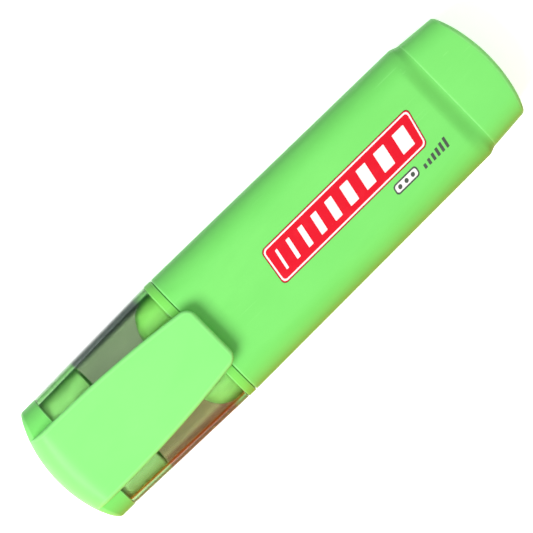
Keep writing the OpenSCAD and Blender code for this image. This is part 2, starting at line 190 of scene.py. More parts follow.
class HighlighterFinish(PropertyGroup):
    """Colours and finishes of the pieces"""

    body: colour("Body", "Green of the barrel", (0.200, 0.750, 0.150))
    body_deep: colour("Body Deep", "Deeper green in the moulding's flow", (0.178, 0.705, 0.132))
    # painted light: the tail's green is a lighter copy of the barrel's, brightened where less light falls
    # on it
    tail: colour("Tail", "Green of the tail plug", (0.215, 0.800, 0.165))
    head: colour("Cap Head", "Green of the cap's head", (0.200, 0.755, 0.155))
    # painted light: the clip's green is a lighter copy of the barrel's, for the extra light on the clip's
    # top
    clip: colour("Clip", "Green of the clip", (0.245, 0.860, 0.200))
    collar: colour("Collar", "Green of the front section", (0.215, 0.745, 0.115))
    # painted warm light on the sleeve's clear top towards -Y
    smoke_top_warm_light: colour("Near Smoke", "Tint of the sleeve's clear top towards -Y", (1.0, 0.92, 0.95))
    # painted light: the neck and the spigot are brighter copies of the collar's and head's greens, for how
    # they show behind the smoky sleeve
    neck: colour("Neck", "Green of the neck inside the cap", (0.310, 0.940, 0.190))
    spigot: colour("Spigot", "Green of the head's spigot inside the sleeve", (0.380, 1.0, 0.300))
    # paler edges: partly rubbing, partly a painted highlight along the rounded edges
    worn_and_highlight: colour("Worn Edge", "Paler green where edges are rubbed", (0.370, 0.920, 0.310))
    smoke: colour("Smoke", "Tint of the sleeve's upper face", (1.0, 1.0, 0.92))
    # painted light and shade in the sleeve: darker below and along its sides, cool light towards +Y, warm
    # light towards -Y, and a painted green reflection beside the green pieces
    smoke_shade_cool_light: colour("Smoke Cool", "Tint of the sleeve below, towards +Y", (0.36, 0.50, 0.31))
    smoke_shade_warm_light: colour("Smoke Warm", "Tint of the sleeve below, towards -Y", (0.40, 0.46, 0.20))
    side_shade_cool_light: colour("Side Cool", "Tint of the sleeve's side towards +Y", (0.07, 0.09, 0.08))
    side_green_reflection: colour(
        "Side Green", "Tint of the sleeve's sides next to the green pieces", (0.14, 0.38, 0.11)
    )
    side_shade_warm_light: colour("Side Warm", "Tint of the sleeve's side towards -Y", (0.15, 0.08, 0.05))
    # painted shade: the inner cap's natural plastic is painted dark and greenish, as it looks in the shade
    # inside the cap
    milk_in_painted_shade: colour("Milk", "Natural plastic of the inner cap", (0.30, 0.37, 0.28))
    ink: colour("Ink", "Fibre soaked with ink", (0.42, 0.86, 0.08))
    red: colour("Panel", "Red of the printed panel", (0.730, 0.006, 0.022))
    white: colour("Print White", "White of the keyline and the bars", (0.90, 0.86, 0.86))
    dark: colour("Print Dark", "Dark line round the panel", (0.15, 0.045, 0.035))
    grey: colour("Print Grey", "Dark grey of the small marks", (0.075, 0.095, 0.075))
    # strength of the paler edges, which are partly rubbing and partly a painted highlight
    wear_and_highlight: share("Edge Wear", "How much the edges are rubbed", 0.4)
    roughness: share("Plastic Roughness", "Roughness of the satin plastic", 0.46)


class HighlighterStage(PropertyGroup):
    """Camera, lights and floor"""

    turn: FloatProperty(
        name="Turn", description="How far the pen is turned in the view",
        default=math.radians(44.6), unit="ROTATION",
    )
    tilt: FloatProperty(
        name="Tilt", description="How far the camera leans from straight above",
        default=math.radians(4.2), unit="ROTATION",
    )
    width: length("View Width", "Width of what the camera takes in", 97.1 * MM)
    aside: length("Aside", "How far the pen lies right of the view's middle", 1.0 * MM)
    shift: length("Shift", "How far the view's middle lies off the pen's towards +Y", 0.3 * MM)
    lens: FloatProperty(name="Lens", description="Focal length in millimetres", default=300, min=50)
    floor: colour("Floor", "Colour of the floor", (0.97, 0.97, 0.97))
    floor_glow: share("Floor Glow", "Light of the floor's own, as of a light table", 0.55)
    sky: share("Sky", "Strength of the light from all round", 0.31, 4)
    top_light: FloatProperty(
        name="Top Light", description="Power of the softbox above", default=3.3, min=0, unit="POWER"
    )
    key_light: FloatProperty(
        name="Key Light", description="Power of the softbox over the cap's end", default=15.2, min=0,
        unit="POWER",
    )
    card_gap: length("Card Gap", "Distance of the side cards from the pen's middle", 110 * MM)
    card_height: length("Card Height", "Height of the side cards", 60 * MM)
    card_cool: colour("Cool Card", "Colour of the card on the far side", (0.36, 0.40, 0.42))
    card_warm: colour("Warm Card", "Colour of the card on the near side", (0.62, 0.18, 0.04))
    card_glow: share("Card Glow", "Strength of the warm card's own light", 0.3, 4)


# Outlines


def oval_weights(power, steps=18, flats=7):
    """Three weights for each point round a flat oval: y is spread times the flat's half width
    plus bulge times the reach, and z is lift times the half thickness. On each side, bulge and
    lift are the cosine and sine of the angle raised to 2/power."""
    a = np.linspace(0, np.pi / 2, steps + 1)
    bulge = np.concatenate([np.cos(a) ** (2 / power), np.zeros(flats)])
    bulge[steps] = 0
    lift = np.concatenate([np.sin(a) ** (2 / power), np.ones(flats)])
    spread = np.concatenate([np.ones(steps + 1), np.linspace(1, 0, flats + 1)[1:]])
    q = np.stack([spread, bulge, lift])
    flip = np.array([[-1], [-1], [1]])
    turn = np.array([[-1], [-1], [-1]])
    back = np.array([[1], [1], [-1]])
    return np.concatenate(
        [q, (q * flip)[:, -2::-1], (q * turn)[:, 1:], (q * back)[:, -2:0:-1]], axis=1
    )


def ovals(weights, x, hw, ht, reach):
    """Rings of a flat oval along the pen, one for each x. The half width hw, the half thickness ht
    and the side's reach may change from ring to ring."""
    x, hw, ht, reach = (np.atleast_1d(v)[:, None] for v in np.broadcast_arrays(x, hw, ht, reach))
    spread, bulge, lift = weights[:, None]
    y = spread * (hw - reach) + bulge * reach
    return np.stack([x + 0 * y, y, AXIS_Z + lift * ht], axis=2)


def oval_radius(theta, power, hw, ht, reach):
    """Distance from the pen's axis to a flat oval at each angle theta, read off a fine outline."""
    ring = ovals(oval_weights(power, 90, 60), 0, hw, ht, reach)[0]
    return read_radius(theta, ring[:, 1], ring[:, 2] - AXIS_Z)


def read_radius(theta, y, z):
    """Distance to an outline at each angle theta, between the outline's own points."""
    angle = np.arctan2(z, y) % (2 * np.pi)
    order = np.argsort(angle)
    return np.interp(theta, angle[order], np.hypot(y, z)[order], period=2 * np.pi)


def polar_ring(theta, x, radius):
    """A ring about the pen's axis: y is radius times cosine and z radius times sine of theta."""
    y = radius * np.cos(theta)
    return np.stack([x + 0 * y, y, AXIS_Z + radius * np.sin(theta)], axis=1)


def trace(points, count):
    """Points spread along a polyline at even steps of its length, its own corners included."""
    p = np.asarray(points, float)
    run = np.concatenate([[0], np.cumsum(np.hypot(*np.diff(p, axis=0).T))])
    at = np.unique(np.concatenate([run, np.linspace(0, run[-1], count)]).round(9))
    return np.stack([np.interp(at, run, p[:, k]) for k in (0, 1)], axis=1)


def quarter(count=5, start=0.0, end=90.0):
    """Sine and one minus cosine of evenly spaced angles, for rounded edges."""
    a = np.radians(np.linspace(start, end, count))
    return np.sin(a), 1 - np.cos(a)


def spaced(a, b, count, crowd=0.6 * MM):
    """Places from a to b, with one more close to each end so that edges stay crisp."""
    inner = np.linspace(a, b, count)
    step = math.copysign(min(crowd, abs(b - a) / 3), b - a)
    return np.concatenate([[a, a + step], inner[1:-1][np.abs(inner[1:-1] - a) > abs(step) * 1.5],
                           [b - step, b]])


# Meshes


def skin(rings, loop=False, poles=True):
    """Faces over a stack of closed rings. With loop, the last ring joins the first. With poles,
    each end is closed by a fan to the middle of its ring."""
    rows, cols = rings.shape[:2]
    verts = rings.reshape(-1, 3)
    i = np.arange(rows if loop else rows - 1)[:, None] * cols
    j = np.arange(cols)[None, :]
    k = (j + 1) % cols
    n = (i + cols) % (rows * cols)
    quads = np.stack([i + j, i + k, n + k, n + j], axis=2).reshape(-1, 4)
    tris = np.zeros((0, 3), int)
    if not loop and poles:
        verts = np.concatenate([verts, rings[[0, -1]].mean(1)])
        j, k, first, last = j[0], k[0], rows * cols, (rows - 1) * cols
        tris = np.concatenate([
            np.stack([k, j, np.full(cols, first)], axis=1),
            np.stack([last + j, last + k, np.full(cols, first + 1)], axis=1),
        ])
    return outward(verts, quads, tris)


def outward(verts, quads, tris):
    """Turns a closed shell's faces outwards: its signed volume, summed over triangles, is positive."""
    t = np.concatenate([quads[:, :3], quads[:, [0, 2, 3]], tris])
    a, b, c = verts[t[:, 0]], verts[t[:, 1]], verts[t[:, 2]]
    if np.einsum("ij,ij->", a, np.cross(b, c)) < 0:
        quads, tris = quads[:, ::-1], tris[:, ::-1]
    return verts, quads, tris


def block(corners):
    """A closed block from eight corners: four round one end, then the four that face them."""
    quads = np.array([[0, 1, 2, 3], [4, 5, 6, 7], [0, 1, 5, 4], [1, 2, 6, 5], [2, 3, 7, 6], [3, 0, 4, 7]])
    quads[0] = quads[0, ::-1]
    return outward(np.asarray(corners, float), quads, np.zeros((0, 3), int))


def plank(x0, x1, ys, zs):
    """A block along the pen. ys gives its two sides at x0 and then at x1, zs its bottom and top."""
    (a, b), (c, d) = ys
    low, high = zs
    return block([[x0, a, low], [x0, b, low], [x0, b, high], [x0, a, high],
                  [x1, c, low], [x1, d, low], [x1, d, high], [x1, c, high]])


def edge_mask(verts, quads, tris):
    """How sharply the shell bends outwards at each vertex, from 0 on broad curves to 1 on rounded
    edges: the largest angle between two neighbouring faces over the distance between their
    middles, on convex edges only."""
    tri_rows = np.concatenate([tris, tris[:, :1]], axis=1)
    faces = np.concatenate([quads, tri_rows]) if len(tris) else quads
    p = verts[faces]
    normal = np.cross(p[:, 2] - p[:, 0], p[:, 3] - p[:, 1])
    if len(tris):
        q = verts[tris]
        normal[len(quads):] = np.cross(q[:, 1] - q[:, 0], q[:, 2] - q[:, 0])
    normal /= np.linalg.norm(normal, axis=1, keepdims=True) + 1e-20
    middle = p.mean(1)
    ends = np.sort(np.stack([faces, np.roll(faces, -1, axis=1)], axis=2), axis=2).reshape(-1, 2)
    owner = np.repeat(np.arange(len(faces)), 4)
    keep = ends[:, 0] != ends[:, 1]
    ends, owner = ends[keep], owner[keep]
    order = np.lexsort((ends[:, 1], ends[:, 0]))
    ends, owner = ends[order], owner[order]
    pair = np.nonzero((ends[1:] == ends[:-1]).all(1))[0]
    f, g = owner[pair], owner[pair + 1]
    gap = middle[g] - middle[f]
    width = np.linalg.norm(gap, axis=1) + 1e-9
    angle = np.arccos(np.clip((normal[f] * normal[g]).sum(1), -1, 1))
    bend = np.where((gap * normal[f]).sum(1) < 0, angle / np.maximum(width, 0.1 * MM), 0)
    mask = np.zeros(len(verts))
    for side in (0, 1):
        np.maximum.at(mask, ends[pair, side], bend)
    return np.clip((mask * MM - 0.3) / 0.5, 0, 1)


def make_piece(name, shells, body, material, replaces=(), smooth=42):
    """Joins closed shells into one piece, shaded smooth except at edges sharper than smooth."""
    start, verts, faces, marks = 0, [], [], []
    for v, q, t in shells:
        verts.append(v)
        faces += (q + start).tolist() + (t + start).tolist()
        marks.append(edge_mask(v, q, t))
        start += len(v)
    mesh = bpy.data.meshes.new(name)
    mesh.from_pydata(np.concatenate(verts).tolist(), [], faces)
    if mesh.validate():
        raise RuntimeError(f"{name}: the mesh had faces that can't stand")
    mesh.polygons.foreach_set("use_smooth", np.ones(len(mesh.polygons), bool))
    mesh.set_sharp_from_angle(angle=math.radians(smooth))
    mark = mesh.attributes.new("edge", "FLOAT", "POINT")
    mark.data.foreach_set("value", np.concatenate(marks).astype(np.float32))
    mesh.materials.append(material)
    piece = bpy.data.objects.new(name, mesh)
    bpy.context.scene.collection.objects.link(piece)
    if replaces:
        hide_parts(*replaces)
    if body:
        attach(piece, body)
    return piece


# Shapes


def recess(y, half_width, bulge):
    """How far an end face lies behind its outermost line at y: an arc of the radius that falls
    by bulge at half_width."""
    r = (half_width**2 + bulge**2) / (2 * bulge)
    return r - np.sqrt(np.maximum(r * r - y * y, 0))


def bulged_end(weights, x_end, side, hw, ht, reach, bulge, edge, crisp, rings=9):
    """Rings from the middle of a bulged end face out to its edge and round onto the sides. The
    face is an arc in plan. The edge is a quarter ellipse, along which each ring grows by the sine
    and lies back by one minus the cosine; its radius is edge above and below, and falls to crisp
    at the sides as the square of the height. side is 1 at the tail and -1 at the cap."""
    grow = np.linspace(0, 1, rings + 1)[1:] ** 0.8
    face = ovals(weights, 0, (hw - crisp) * grow, (ht - edge) * grow, (reach - crisp) * grow)
    s, back = quarter(8)
    inset, drop = crisp * (1 - s[1:]), edge * (1 - s[1:])
    turn = ovals(weights, 0, hw - inset, ht - drop, reach - inset)
    radius = crisp + (edge - crisp) * weights[2] ** 2
    turn[:, :, 0] = radius * back[1:, None]
    out = np.concatenate([face, turn])
    out[:, :, 0] = x_end - side * (out[:, :, 0] + recess(out[:, :, 1], hw, bulge))
    return out


def carry_on(ring, weights, x, hw, ht, reach):
    """Rings from a warped ring to the plane x, easing the warp out along the way. hw, ht and reach
    are given at both ends."""
    t = np.concatenate([[0.06], np.linspace(0, 1, 9)[1:-1], [0.95, 1]])
    near = [a + (b - a) * t for a, b in (hw, ht, reach)]
    out = ovals(weights, x, *near)
    out[:, :, 0] = ring[None, :, 0] * (1 - t[:, None]) + x * t[:, None]
    return out


def barrel_half_width(x, body):
    """The barrel's half width at x: it falls in a straight line from the collar to the rear."""
    t = (x - BARREL[0, 0]) / (BARREL[1, 0] - BARREL[0, 0])
    return HALF_WIDTH - body.barrel_taper / 2 * t


def cap_half_width(x, cap):
    """The cap's half width at x: it falls in a straight line from the mouth to the head."""
    t = np.clip((SLEEVE[1, 0] - x) / (SLEEVE[1, 0] - SLEEVE[0, 0]), 0, 1)
    return HALF_WIDTH - cap.taper / 2 * t


def barrel_shells(body):
    """The barrel: ovals along its outside, round its rear shoulder and back along its bore, joined
    into a tube. Its faces fall as three squares less two cubes of the way along the shoulder, and
    its sides do over a shorter step. Six ribs stand in the bore."""
    w = oval_weights(body.side_power)
    x0, x1, b, reach = BARREL[0, 0] + body.seam_slit, BARREL[1, 0], body.seam_round, body.side_reach
    foot_hw, foot_ht = TAIL[1, 1], TAIL[1, 2] - AXIS_Z
    rear = HALF_WIDTH - body.barrel_taper / 2
    s, c = quarter(5)
    front = ovals(w, x0 + b * c, HALF_WIDTH - b * (1 - s), HALF_THICK - b * (1 - s), reach - b * (1 - s))
    run = spaced(x0 + b, x1 - body.shoulder, 26)[1:]
    sides = ovals(w, run, barrel_half_width(run, body), HALF_THICK, reach)
    t = np.linspace(0, 1, 21)[1:]
    turn = x1 - body.shoulder * (1 - t)
    drop = (HALF_THICK - foot_ht) * t * t * (3 - 2 * t)
    late = np.clip(1 - (x1 - turn) / body.step, 0, 1)
    narrow = (rear - foot_hw) * late * late * (3 - 2 * late)
    shoulder = ovals(w, turn, barrel_half_width(turn, body) - narrow, HALF_THICK - drop, reach - drop)
    bore_hw, inset = foot_hw - body.tail_wall, HALF_THICK - foot_ht + body.tail_wall
    step = TAIL[0, 0]
    wide = np.array([step - PRESS_GAP, (step + x0) / 2, x0])
    inside = np.concatenate([
        ovals(w, [x1, step], bore_hw, HALF_THICK - inset, reach - inset),
        ovals(w, wide, barrel_half_width(wide, body) - body.barrel_wall,
              HALF_THICK - body.barrel_wall, reach - body.barrel_wall),
    ])
    shells = [skin(np.concatenate([front, sides, shoulder, inside]), loop=True)]
    a, z, root, half = SECTION[1, 0] + MM, step - MM, body.barrel_wall / 2, body.rib / 2
    side = FILM[1, 1] + PRESS_GAP
    top = FILM[1, 2] + PRESS_GAP - AXIS_Z
    middle = (FILM[1, 1] - 0.2 * MM) / 2
    for sign in (-1, 1):
        far = sign * (barrel_half_width(np.array([a, z]), body) - root)
        shells.append(plank(a, z, [(sign * side, far[0]), (sign * side, far[1])],
                            (AXIS_Z - half, AXIS_Z + half)))
        for up in (-1, 1):
            ends = (sign * middle - half, sign * middle + half)
            shells.append(plank(a, z, [ends, ends],
                                (AXIS_Z + up * top, AXIS_Z + up * (HALF_THICK - root))))
    return shells


def tail_shells(body):
    """The tail plug: from the middle of its bulged end over the edge and along the sides to the
    foot, in to the spigot, and back through the hollow to its domed floor. Two vanes cross it."""
    w = oval_weights(body.side_power)
    x_foot, x_end, b = BARREL[1, 0], TAIL[1, 0], body.seam_round * 0.2
    hw, ht = TAIL[1, 1], TAIL[1, 2] - AXIS_Z
    reach = body.side_reach - (HALF_THICK - ht)
    narrow = hw - body.tail_taper / 2
    thin = ht - body.tail_taper / 2 * 0.92
    end = bulged_end(w, x_end, 1, narrow, thin, reach, body.tail_bulge, body.tail_round,
                     body.corner_round)
    sides = carry_on(end[-1], w, x_foot + b, (narrow, hw), (thin, ht), (reach, reach))
    s, c = quarter(5)
    foot = ovals(w, x_foot + b * (1 - s[1:]), hw - b * c[1:], ht - b * c[1:], reach - b * c[1:])
    gap = PRESS_GAP
    inset = HALF_THICK - ht + body.tail_wall + gap
    sp_hw, sp_ht, sp_reach = hw - body.tail_wall - gap, HALF_THICK - inset, body.side_reach - inset + gap
    x_front = TAIL[0, 0]
    spigot = ovals(w, [x_foot, (x_foot + x_front) / 2, x_front + 2 * b, x_front],
                   sp_hw - np.array([0, 0, 0, b]), sp_ht - np.array([0, 0, 0, b]),
                   sp_reach - np.array([0, 0, 0, b]))
    in_hw, in_ht, in_reach = hw - 2 * body.tail_wall, sp_ht - body.tail_wall + gap, 3 * MM
    deep = x_end - body.tail_wall - recess(in_hw, narrow, body.tail_bulge)
    hollow = ovals(w, [x_front, (x_front + deep) / 2], in_hw, in_ht, in_reach)
    grow = np.linspace(1, 0, 8)[:-1]
    floor = ovals(w, 0, (in_hw - 0.7 * MM) * grow, (in_ht - 0.5 * MM) * grow, in_reach * grow)
    floor[:, :, 0] = x_end - body.tail_wall - recess(floor[:, :, 1], narrow, body.tail_bulge)
    shells = [skin(np.concatenate([end, sides, foot, spigot, hollow, floor]))]
    middle, half, high = (FILM[1, 1] - 0.2 * MM) / 2, 0.6 * MM, in_ht + body.tail_wall / 2
    for sign in (-1, 1):
        ends = (sign * middle - half, sign * middle + half)
        shells.append(plank(x_front, x_end - (body.tail_wall + body.tail_bulge) / 2,
                            [ends, ends], (AXIS_Z - high, AXIS_Z + high)))
    return shells


def slot_outline(half_w, half_t, corner, vent, depth):
    """The nib's slot: a rectangle with rounded corners and a small square vent above and below."""
    s, c = quarter(7)
    q = np.concatenate([
        [[half_w, 0]],
        np.stack([half_w - corner * c, half_t - corner + corner * s], axis=1),
        [[vent, half_t], [vent, half_t + depth], [0, half_t + depth]],
    ])
    q = trace(q, 26)
    return np.concatenate([q, (q * [-1, 1])[-2::-1], (q * [-1, -1])[1:], (q * [1, -1])[-2:0:-1]])


def section_shells(body):
    """The front section: rings about the pen's axis, joined into a loop. They run from the spigot
    over the collar and the neck, round the shoulder, which is a quarter ellipse, and down the
    nose, then back through the nib's slot and the hollow of the spigot."""
    p, b, reach = body.side_power, body.seam_round, body.side_reach
    gap = PRESS_GAP
    half_w, half_t = NIB[1, 1] + gap, NIB[1, 2] - AXIS_Z + gap
    slot = slot_outline(half_w, half_t, 0.6 * MM, 0.35 * MM, 0.3 * MM)
    outer = ovals(oval_weights(p, 16, 5), 0, HALF_WIDTH, HALF_THICK, reach)[0]
    theta = np.concatenate([np.arctan2(slot[:, 1], slot[:, 0]),
                            np.arctan2(outer[:, 2] - AXIS_Z, outer[:, 1])])
    theta = np.sort(theta % (2 * np.pi))
    theta = theta[np.concatenate([[True], np.diff(theta) > 0.004])]
    slot_r = read_radius(theta, slot[:, 0], slot[:, 1])

    def ring(x, hw, ht, rc):
        return polar_ring(theta, x, oval_radius(theta, p, hw, ht, rc))

    x_mouth, x_seam, x_back = SLEEVE[1, 0], BARREL[0, 0], SECTION[1, 0]
    x_neck = x_mouth - body.neck_length
    x_tip, x_nose = SECTION[0, 0], SECTION[0, 0] + body.nose_length
    w = HALF_WIDTH
    spigot, hollow = body.barrel_wall + gap, body.barrel_wall + gap + body.spigot_wall
    back_hw = barrel_half_width(x_back, body)
    s, c = quarter(5)
    rows = [ring(x_back, back_hw - spigot - b, HALF_THICK - spigot - b, reach - spigot - b),
            ring(x_back - 2 * b, back_hw - spigot, HALF_THICK - spigot, reach - spigot),
            ring(x_seam, w - spigot, HALF_THICK - spigot, reach - spigot)]
    rows += [ring(x_seam - b * k, w - b * (1 - m), HALF_THICK - b * (1 - m), reach - b * (1 - m))
             for k, m in zip(c, s)]
    rows += [ring((x_seam + x_mouth) / 2, w, HALF_THICK, reach)]
    rows += [ring(x_mouth + b * (1 - m), w - b * k, HALF_THICK - b * k, reach - b * k)
             for k, m in zip(c, s)]
    n = body.neck_inset
    rows += [ring(x, w - n, HALF_THICK - n, reach - n) for x in (x_mouth, (x_mouth + x_neck) / 2, x_neck)]
    tip_r = math.hypot(NIB[1, 1], NIB[1, 2] - AXIS_Z) + body.nose_wall
    root_r = tip_r + body.nose_taper
    foot = root_r + 0.3 * MM
    s, c = quarter(18)
    for k, m in zip(c[1:], s[1:]):
        cos = 1 - k
        sizes = [foot + (v - foot) * cos for v in (w - n, HALF_THICK - n, reach - n)]
        r = oval_radius(theta, p, *sizes)
        x = x_neck - (x_neck - x_nose) * m
        rows.append(polar_ring(theta, x, r + (foot - r) * m**8))
    s, c = quarter(5)
    rows += [polar_ring(theta, x_nose - 0.3 * MM * m, root_r + 0.3 * MM * (1 - m)) for m in s[1:]]
    rows += [polar_ring(theta, x, root_r + (tip_r - root_r) * t)
             for x, t in ((x_nose + (x_tip - x_nose) * t, t) for t in (0.3, 0.6, 0.9))]
    rows += [polar_ring(theta, x_tip + 0.4 * MM * (1 - m), tip_r - 0.4 * MM * k) for k, m in zip(c, s)]
    rows += [polar_ring(theta, x_tip, slot_r + (tip_r - 0.4 * MM - slot_r) * t) for t in (0.6, 0.3)]
    floor = FILM[0, 0]
    rows += [polar_ring(theta, x, slot_r) for x in (x_tip, x_nose, floor)]
    rows += [ring(x, back_hw - hollow, HALF_THICK - hollow, reach - hollow) for x in (floor, x_back)]
    return [skin(np.stack(rows), loop=True)]


def nib_shells(body):
    """The nib: rounded rectangles along the pen. Towards the writing edge they thin in a straight
    line, and each point is set back in step with y, so that the edge is slanted."""
    half_w, half_t = NIB[1, 1], NIB[1, 2] - AXIS_Z
    x_tip, x_back = NIB[0, 0], NIB[1, 0]
    bevel = 4.5 * MM
    w = oval_weights(2.4, 6, 6)
    soft = 0.35 * MM
    s, c = quarter(6)
    x = np.concatenate([x_tip + soft * c, np.linspace(x_tip, x_tip + bevel, 9)[1:],
                        np.linspace(x_tip + bevel, x_back, 12)[1:]])
    ht = np.interp(x, [x_tip, x_tip + bevel], [body.nib_edge / 2, half_t])
    hw = np.full(len(x), half_w)
    inset = soft * (1 - s)
    ht[:6] -= inset
    hw[:6] -= inset
    corner = np.minimum(0.6 * MM, ht)
    rings = ovals(w, x, hw, ht, corner)
    y = rings[:, :, 1]
    ease = np.clip(1 - (x[:, None] - x_tip) / (12 * MM), 0, 1)
    lag = (half_w - 0.4 * MM - y) / (2 * half_w - 0.4 * MM)
    rings[:, :, 0] += body.nib_slant * np.clip(lag, 0, 1) * ease
    return [skin(rings)]


def sleeve_shells(body, cap):
    """The sleeve: ovals along its outside and back along its inside, joined into a tube, with
    rounded edges at both ends."""
    w = oval_weights(body.side_power, 20, 9)
    x0, x1, b = SLEEVE[0, 0], SLEEVE[1, 0], body.seam_round
    wall, reach = cap.sleeve_wall, body.side_reach

    def inset(x, i):
        return ovals(w, x, cap_half_width(x, cap) - i, HALF_THICK - i, reach - i)

    s, c = quarter(5)
    run = spaced(x0 + b, x1 - b, 16)
    return [skin(np.concatenate([
        inset(x0 + b * c, b * (1 - s)),
        inset(run[1:-1], 0 * run[1:-1]),
        inset(x1 - b * (1 - s), b * c),
        inset(x1 - b * c, wall - b * (1 - s)),
        inset(np.linspace(x1 - b, x0, 6)[1:], np.full(5, wall)),
    ]), loop=True)]


def head_shells(body, cap):
    """The cap's head: from the middle of the bulged end over its edge and along the sides to the
    seam, in to the spigot and along it, and back inside to the floor with the ring that holds the
    inner cap. Inside, each point's distance from the axis is the larger of the hollow's and the
    bore's; where the ring runs into the wall its rings fold onto the wall."""
    w = oval_weights(body.side_power)
    reach, b = body.side_reach, body.seam_round
    x_end, x_seam, x_tip = HEAD[0, 0], SLEEVE[0, 0], HEAD[1, 0]
    hw = HEAD[1, 1]
    end = bulged_end(w, x_end, -1, hw, HALF_THICK, reach, cap.bulge, cap.end_round, body.corner_round)
    sides = carry_on(end[-1], w, x_seam - b, (hw, hw), (HALF_THICK,) * 2, (reach,) * 2)
    s, c = quarter(5)
    lip = ovals(w, x_seam - b * (1 - s[1:]), hw - b * c[1:], HALF_THICK - b * c[1:], reach - b * c[1:])
    i = cap.sleeve_wall + PRESS_GAP

    def inset(x, depth):
        return ovals(w, x, cap_half_width(x, cap) - depth, HALF_THICK - depth, reach - depth)

    run = np.array([x_seam, x_seam + 0.8 * MM, (x_seam + x_tip) / 2, x_tip - 1.2 * MM, x_tip - 2 * b])
    spigot = np.concatenate([inset(run, i + 0 * run), inset(x_tip - b * (1 - s[1:]), i + b * c[1:])])
    outer = spigot[-1]
    theta = np.arctan2(outer[:, 2] - AXIS_Z, outer[:, 1]) % (2 * np.pi)
    bore = CUP[1, 1] + PRESS_GAP
    d = i + cap.head_wall
    x_floor = x_end + cap.bulge + cap.head_wall
    x_ring = x_floor + cap.socket

    def hollow(x):
        r = oval_radius(theta, body.side_power, cap_half_width(x, cap) - d, HALF_THICK - d, reach - d)
        return np.maximum(r, bore)

    ring_r = np.minimum(bore + cap.head_wall, hollow(x_floor))
    merged = hollow(x_floor) <= bore + cap.head_wall + 1e-6
    x_deep = np.where(merged, x_ring, x_floor)
    rows = [
        polar_ring(theta, x_tip, hollow(x_tip)),
        polar_ring(theta, (x_tip + x_ring) / 2, hollow((x_tip + x_ring) / 2)),
        polar_ring(theta, x_ring + 0.02 * MM, hollow(x_ring)),
        polar_ring(theta, x_deep, hollow(x_floor)),
        polar_ring(theta, x_deep, np.minimum(ring_r, hollow(x_floor))),
        polar_ring(theta, x_ring, np.minimum(ring_r, hollow(x_floor))),
        polar_ring(theta, x_ring, np.full(len(theta), bore)),
    ]
    rows[4][merged, 0] -= 0.01 * MM
    rows[5][merged, 0] -= 0.02 * MM
    rows[6][merged, 0] -= 0.03 * MM
    rows += [polar_ring(theta, x_floor, np.full(len(theta), r)) for r in (bore, bore / 2)]
    return [skin(np.concatenate([end, sides, lip, spigot, np.stack(rows)]))]


def cup_shells(cap):
    """The inner cap: a closed profile of distance from the axis against x, turned about the axis,
    with rounded edges at its floor and mouth."""
    theta = np.linspace(0, 2 * np.pi, 97)[:-1]
    x0, x1, r = CUP[0, 0], CUP[1, 0], CUP[1, 1]
    wall = cap.cup_wall
    s, c = quarter(5)
    e, f = 0.4 * MM, 0.25 * MM
    px = np.concatenate([[x0, x0], x0 + e * c, np.linspace(x0 + e, x1 - f, 8)[1:-1], x1 - f * (1 - s),
                         x1 - f * c, [x0 + wall + 2 * e], x0 + wall + e * (1 - s), [x0 + wall]])
    pr = np.concatenate([[r * 0.3, r * 0.7], r - e * (1 - s), np.full(6, r), r - f * c,
                         r - wall + f * (1 - s), [r - wall], r - wall - e * c, [r * 0.3]])
    y = pr[:, None] * np.cos(theta)
    z = AXIS_Z + pr[:, None] * np.sin(theta)
    return [skin(np.stack([px[:, None] + 0 * y, y, z], axis=2))]


